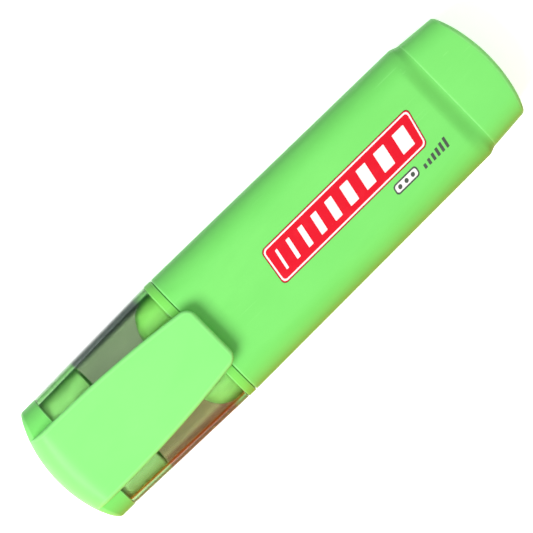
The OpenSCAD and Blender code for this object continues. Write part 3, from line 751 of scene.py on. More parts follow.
def clip_shells(clip, end_bulge):
    """The clip with its brow: rounded rectangles along the pen, each from a bottom to a top. The
    top rises from the end face as a quarter of a superellipse of power 2.5, and runs on level. The
    half width falls as the square of the way to the tip, and round the corners by one minus the
    cosine. The bead under the tip is a half cylinder with rounded ends."""
    x_end, x_root, x_tip = HEAD[0, 0], CLIP[0, 0], CLIP[1, 0]
    top, low = CLIP[1, 2], CLIP[1, 2] - clip.thickness
    half_t, corner = clip.thickness / 2, clip.corner
    floor = AXIS_Z + HALF_THICK - 1.1 * MM

    def half_width(x):
        t = np.clip((x - x_root) / (x_tip - x_root), 0, 1)
        return (clip.root_width - (clip.root_width - clip.tip_width) * t * t) / 2

    a = np.radians(np.linspace(3, 90, 20))
    bx = x_end + 0.04 * MM + clip.brow_length * (1 - np.cos(a) ** 0.8)
    bt = top - clip.brow_rise + clip.brow_rise * np.sin(a) ** 0.8
    fillet = 0.8 * MM
    fs, fc = quarter(7)
    plate = spaced(x_root + fillet, x_tip - corner, 26)[1:]
    cs, cc = quarter(14)
    turn = x_tip - corner + corner * cs[1:]
    x = np.concatenate([bx, np.linspace(bx[-1], x_root - 0.08 * MM, 4)[1:], x_root + fillet * fc,
                        plate, turn])
    z_top = np.concatenate([bt, np.full(len(x) - len(bt), top)])
    z_low = np.full(len(x), floor)
    solid = x < x_end + end_bulge
    z_low[solid] = top - clip.brow_rise - 0.6 * MM
    ramp = (x >= x_end + end_bulge) & (x < x_end + end_bulge + 1.2 * MM)
    z_low[ramp] = np.interp(x[ramp], [x_end + end_bulge, x_end + end_bulge + 1.2 * MM],
                            [top - clip.brow_rise - 0.6 * MM, floor])
    k = len(bx) + 3
    z_low[k:k + 7] = low - fillet + fillet * fs
    z_low[k + 7:] = low
    hw = half_width(x)
    hw[-len(turn):] -= corner * cc[1:]
    into = np.clip((x - x_tip + half_t) / half_t, 0, 0.98)
    shrink = half_t * (1 - np.sqrt(1 - into**2))
    z_top -= shrink
    z_low += shrink
    r = np.minimum(half_t * 0.98, (z_top - z_low) / 2 * 0.98)
    steps, flats, walls = 8, 9, 4
    q = np.radians(np.linspace(0, 90, steps + 1))
    bulge = np.concatenate([np.cos(q) ** 0.87, np.zeros(flats)])
    bulge[steps] = 0
    lift = np.concatenate([np.sin(q) ** 0.87, np.ones(flats)])
    spread = np.concatenate([np.ones(steps + 1), np.linspace(1, 0, flats + 1)[1:]])
    arch = np.stack([
        np.concatenate([spread, -spread[-2::-1]]),
        np.concatenate([bulge, -bulge[-2::-1]]),
        np.concatenate([lift, lift[-2::-1]]),
    ])
    side = np.linspace(0, 1, walls + 2)[1:-1]
    hw_, r_, t_, l_ = (v[:, None] for v in (hw, r, z_top, z_low))
    ya = arch[0] * (hw_ - r_) + arch[1] * r_
    crown = clip.crown * (ya / hw_) ** 2
    over = np.stack([ya, t_ - r_ + arch[2] * r_ - crown], axis=2)
    under = np.stack([-ya, l_ + r_ - arch[2] * r_], axis=2)
    left = np.stack([-hw_ + 0 * side, (t_ - r_) * (1 - side) + (l_ + r_) * side
                     - clip.crown * (1 - side)], axis=2)
    right = np.stack([hw_ + 0 * side, (l_ + r_) * (1 - side) + (t_ - r_) * side
                      - clip.crown * side], axis=2)
    yz = np.concatenate([over, left, under, right], axis=1)
    ease = np.clip((x - x_end) / (clip.brow_length * 1.1), 0, 1)[:, None]
    warp = recess(yz[:, :, 0], HEAD[1, 1], end_bulge) * (1 - ease * ease * (3 - 2 * ease))
    rings = np.concatenate([(x[:, None] + warp)[:, :, None], yz], axis=2)
    shells = [skin(rings)]
    bead, half = clip.bead, clip.tip_width / 2 - corner
    bottom = CLIP[0, 2]
    xb, zb = x_tip - corner - bead / 2, bottom + bead
    es, ec = quarter(6)
    along = np.concatenate([-half + 0.7 * MM * ec, np.linspace(-half + 0.7 * MM, half - 0.7 * MM, 8)[1:-1],
                            half - 0.7 * MM * ec[::-1]])
    scale = np.concatenate([0.25 + 0.75 * es, np.ones(6), 0.25 + 0.75 * es[::-1]])
    arc = np.linspace(np.pi, 2 * np.pi, 17)
    px = np.concatenate([bead * np.cos(arc), [bead, 0, -bead]])
    pz = np.concatenate([bead * np.sin(arc), [low - zb + 0.5 * MM] * 3])
    dip = np.where(pz < 0, pz, 0)
    bx_ = xb + px[None, :] * (0.6 + 0.4 * scale[:, None])
    bz = zb + np.where(pz < 0, dip[None, :] * scale[:, None], pz[None, :])
    by = along[:, None] + 0 * bx_
    shells.append(skin(np.stack([bx_, by, bz], axis=2)))
    return shells


def face_height(x, y, body):
    """The barrel's top at x and y: flat in the middle, and past the flat the height that the
    side's superellipse has there."""
    past = np.clip((np.abs(y) - (barrel_half_width(x, body) - body.side_reach)) / body.side_reach, 0, 1)
    return AXIS_Z + HALF_THICK * (1 - past**body.side_power) ** (1 / body.side_power)


def slanted(x0, x1, y0, y1, corner, slant, count=64):
    """Outline of a slanted rectangle with rounded corners: x is shifted by slant times y."""
    corner = min(corner, (x1 - x0) / 2.01, (y1 - y0) / 2.01)
    s, c = quarter(7)
    tr = np.stack([x1 - corner * c, y1 - corner * (1 - s)], axis=1)
    tl = np.stack([x0 + corner * (1 - s), y1 - corner * c], axis=1)
    bl = np.stack([x0 + corner * c, y0 + corner * (1 - s)], axis=1)
    br = np.stack([x1 - corner * (1 - s), y0 + corner * c], axis=1)
    ring = trace(np.concatenate([tr, tl, bl, br, tr[:1]]), count)[:-1]
    ring[:, 0] += slant * ring[:, 1]
    return ring


def ink_film(ring, body, layer, film):
    """A closed film of ink on the barrel's face: rings that shrink to the outline's middle on top
    and again below, at the face's height plus the layer's own."""
    middle = ring.mean(0)
    grow = np.array([0.2, 0.45, 0.7, 0.9, 1.0])
    flat = middle + (ring - middle) * grow[:, None, None]
    base = face_height(flat[:, :, 0], flat[:, :, 1], body)
    upper = np.concatenate([flat, (base + layer * film)[:, :, None]], axis=2)
    lower = np.concatenate([flat, (base - film)[:, :, None]], axis=2)[::-1]
    return skin(np.concatenate([upper, lower]))


# Node groups and materials


def start_group(name, given, out):
    """A shader node group with named sockets, or None for its tree if it stands already."""
    if name in bpy.data.node_groups:
        return bpy.data.node_groups[name], None, None
    tree = bpy.data.node_groups.new(name, "ShaderNodeTree")
    for label, kind, value in given:
        socket = tree.interface.new_socket(label, in_out="INPUT", socket_type="NodeSocket" + kind)
        if value is not None:
            socket.default_value = value
    for label, kind in out:
        tree.interface.new_socket(label, in_out="OUTPUT", socket_type="NodeSocket" + kind)
    return tree, tree.nodes.new("NodeGroupInput"), tree.nodes.new("NodeGroupOutput")


def put(tree, socket, value):
    """Links a socket, or sets its value."""
    if isinstance(value, bpy.types.NodeSocket):
        tree.links.new(value, socket)
    else:
        socket.default_value = value


def calc(tree, operation, *values, clamp=False):
    node = tree.nodes.new("ShaderNodeMath")
    node.operation = operation
    node.use_clamp = clamp
    for socket, value in zip(node.inputs, values):
        put(tree, socket, value)
    return node.outputs[0]


def blend_colour(tree, factor, a, b):
    node = tree.nodes.new("ShaderNodeMix")
    node.data_type = "RGBA"
    for index, value in ((0, factor), (6, a), (7, b)):
        put(tree, node.inputs[index], value)
    return node.outputs[2]


def step_up(tree, value, low, high, to=1.0):
    node = tree.nodes.new("ShaderNodeMapRange")
    node.interpolation_type = "SMOOTHSTEP"
    for label, v in (("Value", value), ("From Min", low), ("From Max", high), ("To Min", 0.0),
                     ("To Max", to)):
        put(tree, node.inputs[label], v)
    return node.outputs["Result"]


def stretch(tree, vector, scale, turn=(0, 0, 0)):
    node = tree.nodes.new("ShaderNodeMapping")
    node.inputs["Scale"].default_value = scale
    node.inputs["Rotation"].default_value = turn
    put(tree, node.inputs["Vector"], vector)
    return node.outputs[0]


def noise(tree, vector, scale, detail=2.0, rough=0.5, distortion=0.0):
    node = tree.nodes.new("ShaderNodeTexNoise")
    for label, v in (("Vector", vector), ("Scale", scale), ("Detail", detail), ("Roughness", rough),
                     ("Distortion", distortion)):
        put(tree, node.inputs[label], v)
    return node.outputs["Fac"]


def moulded_skin_group():
    """Moulded plastic: slow flow marks in the colour, an orange-peel swell under a fine spark grain
    in the height, hairline scuffs, and paler edges, partly rubbed and partly a painted highlight."""
    tree, given, out = start_group(
        "moulded_skin",
        [("Vector", "Vector", None), ("Colour", "Color", (0.3, 0.9, 0.2, 1)),
         ("Deep Colour", "Color", (0.2, 0.8, 0.2, 1)), ("Worn Colour", "Color", (0.5, 1, 0.4, 1)),
         ("Edge", "Float", 0.0), ("Wear", "Float", 0.5), ("Grain Scale", "Float", 3600.0),
         ("Roughness", "Float", 0.45), ("Roughness Spread", "Float", 0.16)],
        [("Colour", "Color"), ("Roughness", "Float"), ("Height", "Float"), ("Worn", "Float")],
    )
    if given is None:
        return tree
    g = given.outputs
    flow = noise(tree, stretch(tree, g["Vector"], (0.3, 1, 1)), 120.0, 3.0, 0.55, 0.7)
    cloud = noise(tree, g["Vector"], 34.0, 2.0)
    both = calc(tree, "ADD", calc(tree, "MULTIPLY", flow, 0.5), calc(tree, "MULTIPLY", cloud, 0.5))
    tone = step_up(tree, both, 0.36, 0.64)
    tinted = blend_colour(tree, tone, g["Colour"], g["Deep Colour"])
    peel = noise(tree, g["Vector"], 430.0, 2.0, 0.5)
    grain = noise(tree, g["Vector"], g["Grain Scale"], 4.0, 0.62)
    hair = noise(tree, stretch(tree, g["Vector"], (0.02, 1, 1), (0, 0, 0.12)), 2600.0, 1.0)
    where = step_up(tree, noise(tree, g["Vector"], 90.0, 2.0), 0.52, 0.68)
    scuff = calc(tree, "MULTIPLY", step_up(tree, hair, 0.66, 0.74), where)
    patch = calc(tree, "MULTIPLY_ADD", noise(tree, g["Vector"], 650.0, 3.0, 0.6), 1.1, 0.35)
    # paler edges: rubbing, and a painted highlight along the rounded edges
    edges = step_up(tree, calc(tree, "MULTIPLY", g["Edge"], patch), 0.3, 0.95)
    worn_and_highlight = calc(tree, "MULTIPLY", edges, g["Wear"])
    rubbed = blend_colour(tree, calc(tree, "MAXIMUM", worn_and_highlight, calc(tree, "MULTIPLY", scuff, 0.25)), tinted,
                          g["Worn Colour"])
    fine = blend_colour(tree, calc(tree, "MULTIPLY", step_up(tree, grain, 0.3, 0.75), 0.22), rubbed,
                        g["Deep Colour"])
    put(tree, out.inputs["Colour"], fine)
    spread = calc(tree, "MULTIPLY", calc(tree, "SUBTRACT", grain, 0.5), g["Roughness Spread"])
    rough = calc(tree, "ADD", g["Roughness"], calc(tree, "MULTIPLY", spread, 1.6))
    rough = calc(tree, "MULTIPLY_ADD", calc(tree, "SUBTRACT", flow, 0.5), 0.1, rough)
    rough = calc(tree, "MULTIPLY_ADD", worn_and_highlight, -0.12, rough)
    rough = calc(tree, "MULTIPLY_ADD", scuff, 0.12, rough, clamp=True)
    put(tree, out.inputs["Roughness"], rough)
    height = calc(tree, "MULTIPLY_ADD", peel, 0.9, calc(tree, "MULTIPLY", grain, 0.55))
    height = calc(tree, "MULTIPLY_ADD", scuff, -0.35, height)
    put(tree, out.inputs["Height"], height)
    put(tree, out.inputs["Worn"], worn_and_highlight)
    return tree


def strands_group():
    """Bonded fibre: long strands along the pen, from noise stretched along X, a coarser bundle
    pattern, and darker soaked patches."""
    tree, given, out = start_group(
        "fibre_strands",
        [("Vector", "Vector", None), ("Colour", "Color", (0.4, 0.9, 0.1, 1)),
         ("Soaked Colour", "Color", (0.2, 0.6, 0.05, 1)), ("Strand Scale", "Float", 5200.0)],
        [("Colour", "Color"), ("Roughness", "Float"), ("Height", "Float")],
    )
    if given is None:
        return tree
    g = given.outputs
    strand = noise(tree, stretch(tree, g["Vector"], (0.05, 1, 1)), g["Strand Scale"], 2.0, 0.6)
    bundle = noise(tree, stretch(tree, g["Vector"], (0.08, 1, 1)), 1500.0, 2.0, 0.5, 0.4)
    soak = step_up(tree, noise(tree, g["Vector"], 240.0, 3.0), 0.4, 0.66)
    dark = calc(tree, "MULTIPLY_ADD", step_up(tree, strand, 0.4, 0.6), 0.4,
                calc(tree, "MULTIPLY", soak, 0.5))
    put(tree, out.inputs["Colour"], blend_colour(tree, dark, g["Colour"], g["Soaked Colour"]))
    put(tree, out.inputs["Roughness"], calc(tree, "MULTIPLY_ADD", bundle, 0.3, 0.62, clamp=True))
    height = calc(tree, "MULTIPLY_ADD", strand, 0.7, calc(tree, "MULTIPLY", bundle, 0.6))
    put(tree, out.inputs["Height"], height)
    return tree


def ink_group():
    """Printed ink: uneven density, a fine tooth, and pinholes where the ink missed."""
    tree, given, out = start_group(
        "printed_ink",
        [("Vector", "Vector", None), ("Colour", "Color", (0.8, 0, 0, 1)),
         ("Thin Colour", "Color", (0.9, 0.2, 0.2, 1))],
        [("Colour", "Color"), ("Roughness", "Float"), ("Height", "Float")],
    )
    if given is None:
        return tree
    g = given.outputs
    density = noise(tree, g["Vector"], 330.0, 4.0, 0.6)
    tooth = noise(tree, g["Vector"], 5200.0, 2.0)
    hole = step_up(tree, noise(tree, g["Vector"], 2300.0, 1.0), 0.74, 0.8)
    thin = calc(tree, "MAXIMUM", calc(tree, "MULTIPLY", step_up(tree, density, 0.48, 0.75), 0.35),
                calc(tree, "MULTIPLY", hole, 0.6))
    put(tree, out.inputs["Colour"], blend_colour(tree, thin, g["Colour"], g["Thin Colour"]))
    put(tree, out.inputs["Roughness"], calc(tree, "MULTIPLY_ADD", tooth, 0.25, 0.26, clamp=True))
    height = calc(tree, "SUBTRACT", calc(tree, "MULTIPLY", tooth, 0.5), calc(tree, "MULTIPLY", hole, 0.5))
    put(tree, out.inputs["Height"], height)
    return tree


def clear_group():
    """See-through moulding: faint swirls of tint, fine hairline scuffs and haze for the roughness,
    and a slow swell in the height."""
    tree, given, out = start_group(
        "clear_moulding",
        [("Vector", "Vector", None), ("Tint", "Color", (0.5, 0.5, 0.5, 1)),
         ("Deep Tint", "Color", (0.4, 0.4, 0.4, 1)), ("Haze", "Float", 0.06)],
        [("Colour", "Color"), ("Roughness", "Float"), ("Height", "Float")],
    )
    if given is None:
        return tree
    g = given.outputs
    swirl = noise(tree, stretch(tree, g["Vector"], (0.4, 1, 1)), 130.0, 3.0, 0.5, 1.2)
    tinted = blend_colour(tree, step_up(tree, swirl, 0.35, 0.7), g["Tint"], g["Deep Tint"])
    put(tree, out.inputs["Colour"], tinted)
    hair = noise(tree, stretch(tree, g["Vector"], (0.03, 1, 1), (0, 0, 0.2)), 2400.0, 1.0)
    where = step_up(tree, noise(tree, g["Vector"], 110.0, 2.0), 0.45, 0.7)
    scuff = calc(tree, "MULTIPLY", step_up(tree, hair, 0.62, 0.72), where)
    haze = calc(tree, "MULTIPLY_ADD", swirl, 0.05, g["Haze"])
    put(tree, out.inputs["Roughness"], calc(tree, "MULTIPLY_ADD", scuff, 0.22, haze, clamp=True))
    swell = noise(tree, g["Vector"], 210.0, 2.0)
    put(tree, out.inputs["Height"], calc(tree, "MULTIPLY_ADD", scuff, -0.2, swell))
    return tree


def start_material(name, group, distance, **values):
    """A material whose colour, roughness and bump come from a node group, on Object coordinates."""
    mat = bpy.data.materials.new(name)
    mat.use_nodes = True
    tree = mat.node_tree
    shader = tree.nodes["Principled BSDF"]
    place = tree.nodes.new("ShaderNodeTexCoord")
    node = tree.nodes.new("ShaderNodeGroup")
    node.node_tree = group
    tree.links.new(place.outputs["Object"], node.inputs["Vector"])
    for label, value in values.items():
        solid = (*value, 1) if hasattr(value, "__len__") and len(value) == 3 else value
        node.inputs[label.replace("_", " ")].default_value = solid
    bump = tree.nodes.new("ShaderNodeBump")
    bump.inputs["Distance"].default_value = distance
    bump.inputs["Strength"].default_value = 1
    tree.links.new(node.outputs["Height"], bump.inputs["Height"])
    tree.links.new(bump.outputs["Normal"], shader.inputs["Normal"])
    tree.links.new(node.outputs["Colour"], shader.inputs["Base Color"])
    tree.links.new(node.outputs["Roughness"], shader.inputs["Roughness"])
    return mat, tree, shader, node


def moulded_material(name, base, deep, finish, grain=3600.0, distance=0.012 * MM, spread=0.16):
    mat, tree, shader, node = start_material(
        name, moulded_skin_group(), distance,
        Colour=base, Deep_Colour=deep, Worn_Colour=finish.worn_and_highlight, Wear=finish.wear_and_highlight,
        Grain_Scale=grain, Roughness=finish.roughness, Roughness_Spread=spread,
    )
    edge = tree.nodes.new("ShaderNodeAttribute")
    edge.attribute_name = "edge"
    tree.links.new(edge.outputs["Fac"], node.inputs["Edge"])
    shader.inputs["IOR"].default_value = PLASTIC_IOR
    shader.inputs["Specular IOR Level"].default_value = 0.3
    return mat


def place_axes(mat):
    """A material's tree, its group node and the X, Y and Z of its Object coordinates."""
    tree = mat.node_tree
    node = next(n for n in tree.nodes if n.type == "GROUP")
    place = next(n for n in tree.nodes if n.type == "TEX_COORD")
    axes = tree.nodes.new("ShaderNodeSeparateXYZ")
    tree.links.new(place.outputs["Object"], axes.inputs[0])
    return tree, node, axes.outputs


def painted_bright_inside_cap(mat, base, painted_bright, start, full):
    """Lets the base colour turn along the pen, from start to full, to a brighter copy where the piece
    lies inside the cap: painted light that lifts it behind the smoky sleeve."""
    tree, node, axes = place_axes(mat)
    along = step_up(tree, axes["X"], start, full)
    tree.links.new(blend_colour(tree, along, (*base, 1), (*painted_bright, 1)), node.inputs["Colour"])
    by = (0.9, 0.94, 0.88)
    deep = blend_colour(tree, along, (*deeper(base, by), 1), (*deeper(painted_bright, by), 1))
    tree.links.new(deep, node.inputs["Deep Colour"])


def deeper(value, by):
    return tuple(c * k for c, k in zip(value, by))


def fibre_material(name, finish, scale):
    mat, _, shader, _ = start_material(
        name, strands_group(), 0.05 * MM, Colour=finish.ink,
        Soaked_Colour=deeper(finish.ink, (0.55, 0.72, 0.5)), Strand_Scale=scale,
    )
    shader.inputs["Sheen Weight"].default_value = 0.15
    return mat


def ink_material(name, base, thin):
    mat, _, shader, _ = start_material(name, ink_group(), 0.003 * MM, Colour=base, Thin_Colour=thin)
    shader.inputs["Specular IOR Level"].default_value = 0.12
    return mat


def clear_material(name, tint, deep, haze, transmission, ior=PLASTIC_IOR):
    mat, _, shader, _ = start_material(
        name, clear_group(), 0.004 * MM, Tint=tint, Deep_Tint=deep, Haze=haze,
    )
    shader.inputs["Transmission Weight"].default_value = transmission
    shader.inputs["IOR"].default_value = ior
    return mat


def smoky_material(finish):
    """The sleeve's plastic, with painted light in its tint: clear on top, painted darker below as
    shade and darkest along its sides, with painted cool light towards +Y and painted warm light
    towards -Y. Beside the green spigot and neck its sides take a painted green reflection of them."""
    mat = clear_material("smoky_clear_painted_light", finish.smoke, finish.smoke, 0.05, 1.0, SLEEVE_IOR)
    tree, node, axes = place_axes(mat)
    # painted light: cool light on the +Y half, warm light on the -Y half
    cool = step_up(tree, axes["Y"], -4 * MM, 4 * MM)
    lower = blend_colour(tree, cool, (*finish.smoke_shade_warm_light, 1), (*finish.smoke_shade_cool_light, 1))
    side = blend_colour(tree, cool, (*finish.side_shade_warm_light, 1), (*finish.side_shade_cool_light, 1))
    # painted shade: the sleeve below its clear top is darker
    upper = step_up(tree, axes["Z"], AXIS_Z + 2.5 * MM, AXIS_Z + 6.2 * MM)
    top = blend_colour(tree, cool, (*finish.smoke_top_warm_light, 1), (*finish.smoke, 1))
    tint = blend_colour(tree, upper, lower, top)
    # painted green reflection of the spigot and neck on the sleeve's sides
    head = step_up(tree, axes["X"], HEAD[1, 0] + 0.3 * MM, HEAD[1, 0] - 0.3 * MM)
    neck = step_up(tree, axes["X"], SLEEVE[1, 0] - 3.5 * MM, SLEEVE[1, 0] - 1.5 * MM)
    side = blend_colour(tree, calc(tree, "MAXIMUM", head, neck), side, (*finish.side_green_reflection, 1))
    # painted shade, darkest along the sleeve's sides
    out = step_up(tree, calc(tree, "ABSOLUTE", axes["Y"]), HALF_WIDTH - 2.3 * MM,
                  HALF_WIDTH - 0.9 * MM)
    tint = blend_colour(tree, out, tint, side)
    deep = blend_colour(tree, 0.12, tint, (0, 0, 0, 1))
    tree.links.new(tint, node.inputs["Tint"])
    tree.links.new(deep, node.inputs["Deep Tint"])
    return mat


# Operators


class HIGHLIGHTER_OT_barrel(Operator):
    """Build the barrel"""

    bl_idname = "highlighter.barrel"
    bl_label = "Barrel"

    def execute(self, context):
        s = context.scene
        mat = moulded_material("barrel_green", s.highlighter_finish.body, s.highlighter_finish.body_deep,
                               s.highlighter_finish)
        make_piece("barrel_shell", barrel_shells(s.highlighter_body), "pen", mat, ["barrel"])
        return {"FINISHED"}


class HIGHLIGHTER_OT_tail(Operator):
    """Build the tail plug"""

    bl_idname = "highlighter.tail"
    bl_label = "Tail Plug"

    def execute(self, context):
        s = context.scene
        f = s.highlighter_finish
        mat = moulded_material("tail_green", f.tail, deeper(f.tail, (0.92, 0.95, 0.92)), f, grain=3200.0)
        make_piece("tail_end", tail_shells(s.highlighter_body), "pen", mat, ["tail_plug"])
        return {"FINISHED"}


class HIGHLIGHTER_OT_section(Operator):
    """Build the front section with its collar, neck, shoulder and nose"""

    bl_idname = "highlighter.section"
    bl_label = "Front Section"

    def execute(self, context):
        s = context.scene
        f = s.highlighter_finish
        mat = moulded_material("collar_green", f.collar, deeper(f.collar, (0.92, 0.94, 0.88)), f,
                               grain=4200.0)
        # painted light: the neck inside the cap turns to a brighter copy of the collar's green
        painted_bright_inside_cap(mat, f.collar, f.neck, SLEEVE[1, 0], SLEEVE[1, 0] - 0.6 * MM)
        make_piece("section_body", section_shells(s.highlighter_body), "pen", mat,
                   ["front_section"])
        return {"FINISHED"}


class HIGHLIGHTER_OT_nib(Operator):
    """Build the chisel nib"""

    bl_idname = "highlighter.nib"
    bl_label = "Nib"

    def execute(self, context):
        s = context.scene
        make_piece("nib_felt", nib_shells(s.highlighter_body), "pen",
                   fibre_material("nib_fibre", s.highlighter_finish, 6200.0), ["nib"])
        return {"FINISHED"}


class HIGHLIGHTER_OT_reservoir(Operator):
    """Give the reservoir and its film their materials"""

    bl_idname = "highlighter.reservoir"
    bl_label = "Reservoir"

    def execute(self, context):
        f = context.scene.highlighter_finish
        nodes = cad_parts
        for name, mat in (
            ("reservoir_fibre", fibre_material("reservoir_fibre_soaked", f, 3800.0)),
            ("reservoir_film", clear_material("reservoir_film_clear", (0.90, 0.94, 0.90),
                                              (0.84, 0.90, 0.84), 0.1, 0.9)),
        ):
            nodes[name].data.materials.clear()
            nodes[name].data.materials.append(mat)
        return {"FINISHED"}


class HIGHLIGHTER_OT_sleeve(Operator):
    """Build the smoky see-through sleeve of the cap"""

    bl_idname = "highlighter.sleeve"
    bl_label = "Cap Sleeve"

    def execute(self, context):
        s = context.scene
        mat = smoky_material(s.highlighter_finish)
        make_piece("sleeve_smoke", sleeve_shells(s.highlighter_body, s.highlighter_cap), "cap",
                   mat, ["cap_sleeve"])
        return {"FINISHED"}


class HIGHLIGHTER_OT_head(Operator):
    """Build the cap's head with its spigot"""

    bl_idname = "highlighter.head"
    bl_label = "Cap Head"

    def execute(self, context):
        s = context.scene
        f = s.highlighter_finish
        mat = moulded_material("head_green", f.head, deeper(f.head, (0.9, 0.95, 0.9)), f)
        # painted light: the spigot inside the sleeve turns to a brighter copy of the head's green
        painted_bright_inside_cap(mat, f.head, f.spigot, SLEEVE[0, 0], SLEEVE[0, 0] + 0.4 * MM)
        make_piece("cap_head", head_shells(s.highlighter_body, s.highlighter_cap), "cap",
                   mat, ["cap_end_plug"])
        return {"FINISHED"}


class HIGHLIGHTER_OT_cup(Operator):
    """Build the inner cap that seals the nose"""

    bl_idname = "highlighter.cup"
    bl_label = "Inner Cap"

    def execute(self, context):
        s = context.scene
        f = s.highlighter_finish
        # painted shade: the natural plastic is darkened and tinted green for the shade inside the cap
        mat = moulded_material("inner_cap_milk_painted_shade", f.milk_in_painted_shade, deeper(f.milk_in_painted_shade, (0.93, 0.95, 0.92)), f,
                               grain=5000.0, distance=0.006 * MM)
        make_piece("inner_cup", cup_shells(s.highlighter_cap), "cap", mat, ["inner_cap"])
        return {"FINISHED"}


class HIGHLIGHTER_OT_clip(Operator):
    """Build the clip with the brow that joins it to the cap's head"""

    bl_idname = "highlighter.clip"
    bl_label = "Clip"

    def execute(self, context):
        s = context.scene
        f = s.highlighter_finish
        mat = moulded_material("clip_green", f.clip, deeper(f.clip, (0.93, 0.96, 0.93)), f)
        shells = clip_shells(s.highlighter_clip, s.highlighter_cap.bulge)
        piece = make_piece("clip_blade", shells, None, mat, ["clip"])
        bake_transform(piece)
        return {"FINISHED"}


class HIGHLIGHTER_OT_print(Operator):
    """Print the slanted panel with its bars, and the small marks beside it"""

    bl_idname = "highlighter.print"
    bl_label = "Print"

    def execute(self, context):
        s = context.scene
        p, body, f = s.highlighter_print, s.highlighter_body, s.highlighter_finish
        x0 = BARREL[0, 0] + p.start
        x1, half = x0 + p.panel_length, p.panel_height / 2

        def panel(inset, corner):
            ring = slanted(x0 + inset, x1 - inset, -half + inset, half - inset, corner, 0, 160)
            far = (ring[:, 0] - x0) / (x1 - x0) - 0.5
            ring[:, 0] += (p.slant + p.fan * far) * ring[:, 1]
            return ring + [0, p.offset]

        def add(name, rings, layer, mat):
            make_piece(name, [ink_film(r, body, layer, p.film) for r in rings], "pen", mat)

        red = ink_material("ink_red", f.red, deeper(f.red, (1.1, 4.0, 2.0)))
        white = ink_material("ink_white", f.white, deeper(f.white, (1.0, 0.9, 0.9)))
        dark = ink_material("ink_dark", f.dark, deeper(f.dark, (1.8, 1.8, 1.8)))
        grey = ink_material("ink_grey", f.grey, deeper(f.grey, (2.2, 2.2, 2.2)))
        add("print_outline", [panel(0, p.corner)], 1, dark)
        add("print_edge", [panel(0.12 * MM, p.corner * 0.95)], 2, red)
        add("print_keyline", [panel(0.28 * MM, p.corner * 0.9)], 3, white)
        add("print_panel", [panel(0.6 * MM, p.corner * 0.7)], 4, red)
        widths = p.bar_first + p.bar_step * np.arange(p.bars)
        room = p.panel_length - 4.4 * MM
        gap = (room - widths.sum()) / max(p.bars - 1, 1)
        starts = x0 + 2.2 * MM + np.cumsum(np.concatenate([[0], widths[:-1] + gap]))
        high = p.bar_height / 2
        add("print_bars", [slanted(a, a + w, -high, high, 0.12 * MM, p.slant) + [0, p.offset]
                           for a, w in zip(starts, widths)], 5, white)
        low, top = -6.3 * MM, -4.3 * MM
        pill = (x1 - 10.2 * MM, x1 - 4.4 * MM)
        near, far, pitch = x1 - 3.2 * MM, x1 - 2.6 * MM, 1.1 * MM
        rising = [slanted(near + k * pitch, far + k * pitch, low, low + (0.9 + 0.22 * k) * MM,
                          0.1 * MM, p.slant) for k in range(6)]
        add("print_marks", [slanted(*pill, low, top, 0.7 * MM, p.slant)] + rising, 1, grey)
        line = 0.3 * MM
        add("print_window", [slanted(pill[0] + line, pill[1] - line, low + line, top - line,
                                     0.5 * MM, p.slant)], 2, white)
        dots, dot, level = pill[0] + np.array([1.3, 2.9, 4.5]) * MM, 0.42 * MM, (low + top) / 2
        add("print_dots", [slanted(d - dot, d + dot, level - dot, level + dot, 0.4 * MM, p.slant)
                           for d in dots], 3, grey)
        return {"FINISHED"}


class HIGHLIGHTER_OT_stage(Operator):
    """Set the floor, the lights and the camera"""

    bl_idname = "highlighter.stage"
    bl_label = "Stage"

    def execute(self, context):
        scene = context.scene
        st = scene.highlighter_stage
        floor = make_floor(st)
        world = bpy.data.worlds.new("soft_sky")
        world.use_nodes = True
        sky = world.node_tree.nodes["Background"]
        sky.inputs["Color"].default_value = (1, 1, 1, 1)
        sky.inputs["Strength"].default_value = st.sky
        scene.world = world
        softbox("softbox_top", (0.05, 0.1, 1.2), (1.3, 1.3), st.top_light)
        softbox("softbox_key", (-0.75, -0.08, 0.95), (0.6, 0.6), st.key_light)
        make_card("card_cool", st.card_gap, st.card_height, st.card_cool, 0)
        make_card("card_warm", -st.card_gap, st.card_height, st.card_warm, st.card_glow)
        aim_camera(scene, st)
        scene.view_settings.view_transform = "Standard"
        scene.view_settings.look = "None"
        return {"FINISHED"}


def make_floor(st):
    """The floor: rings of growing radius about the middle, the radius as the square of the step,
    rising as the fourth power near the rim into a shallow cove. It lies a hair under the pen."""
    theta = np.linspace(0, 2 * np.pi, 97)[:-1]
    t = np.linspace(0, 1, 41)[1:]
    reach, cove, low = 2.4, 0.35, 0.02 * MM
    r = reach * t**2
    rise = cove * np.clip((t - 0.7) / 0.3, 0, 1) ** 4
    ring = np.stack([r[:, None] * np.cos(theta), r[:, None] * np.sin(theta),
                     rise[:, None] - low + 0 * theta], axis=2)
    rows, cols = ring.shape[:2]
    i, j = np.arange(rows - 1)[:, None] * cols, np.arange(cols)[None, :]
    k = (j + 1) % cols
    quads = np.stack([i + j, i + cols + j, i + cols + k, i + k], axis=2).reshape(-1, 4)
    fan = np.stack([np.full(cols, rows * cols), j[0], k[0]], axis=1)
    mesh = bpy.data.meshes.new("floor")
    mesh.from_pydata(ring.reshape(-1, 3).tolist() + [[0, 0, -low]], [], quads.tolist() + fan.tolist())
    mesh.polygons.foreach_set("use_smooth", np.ones(len(mesh.polygons), bool))
    mat, tree, shader, _ = start_material(
        "floor_pale", ink_group(), 0.001 * MM, Colour=st.floor,
        Thin_Colour=deeper(st.floor, (0.99, 0.99, 0.99)),
    )
    for link in list(shader.inputs["Roughness"].links):
        tree.links.remove(link)
    shader.inputs["Roughness"].default_value = 0.9
    shader.inputs["Specular IOR Level"].default_value = 0.1
    shader.inputs["Emission Color"].default_value = (1, 1, 1, 1)
    shader.inputs["Emission Strength"].default_value = st.floor_glow
    mesh.materials.append(mat)
    floor = bpy.data.objects.new("floor", mesh)
    bpy.context.scene.collection.objects.link(floor)
    return floor


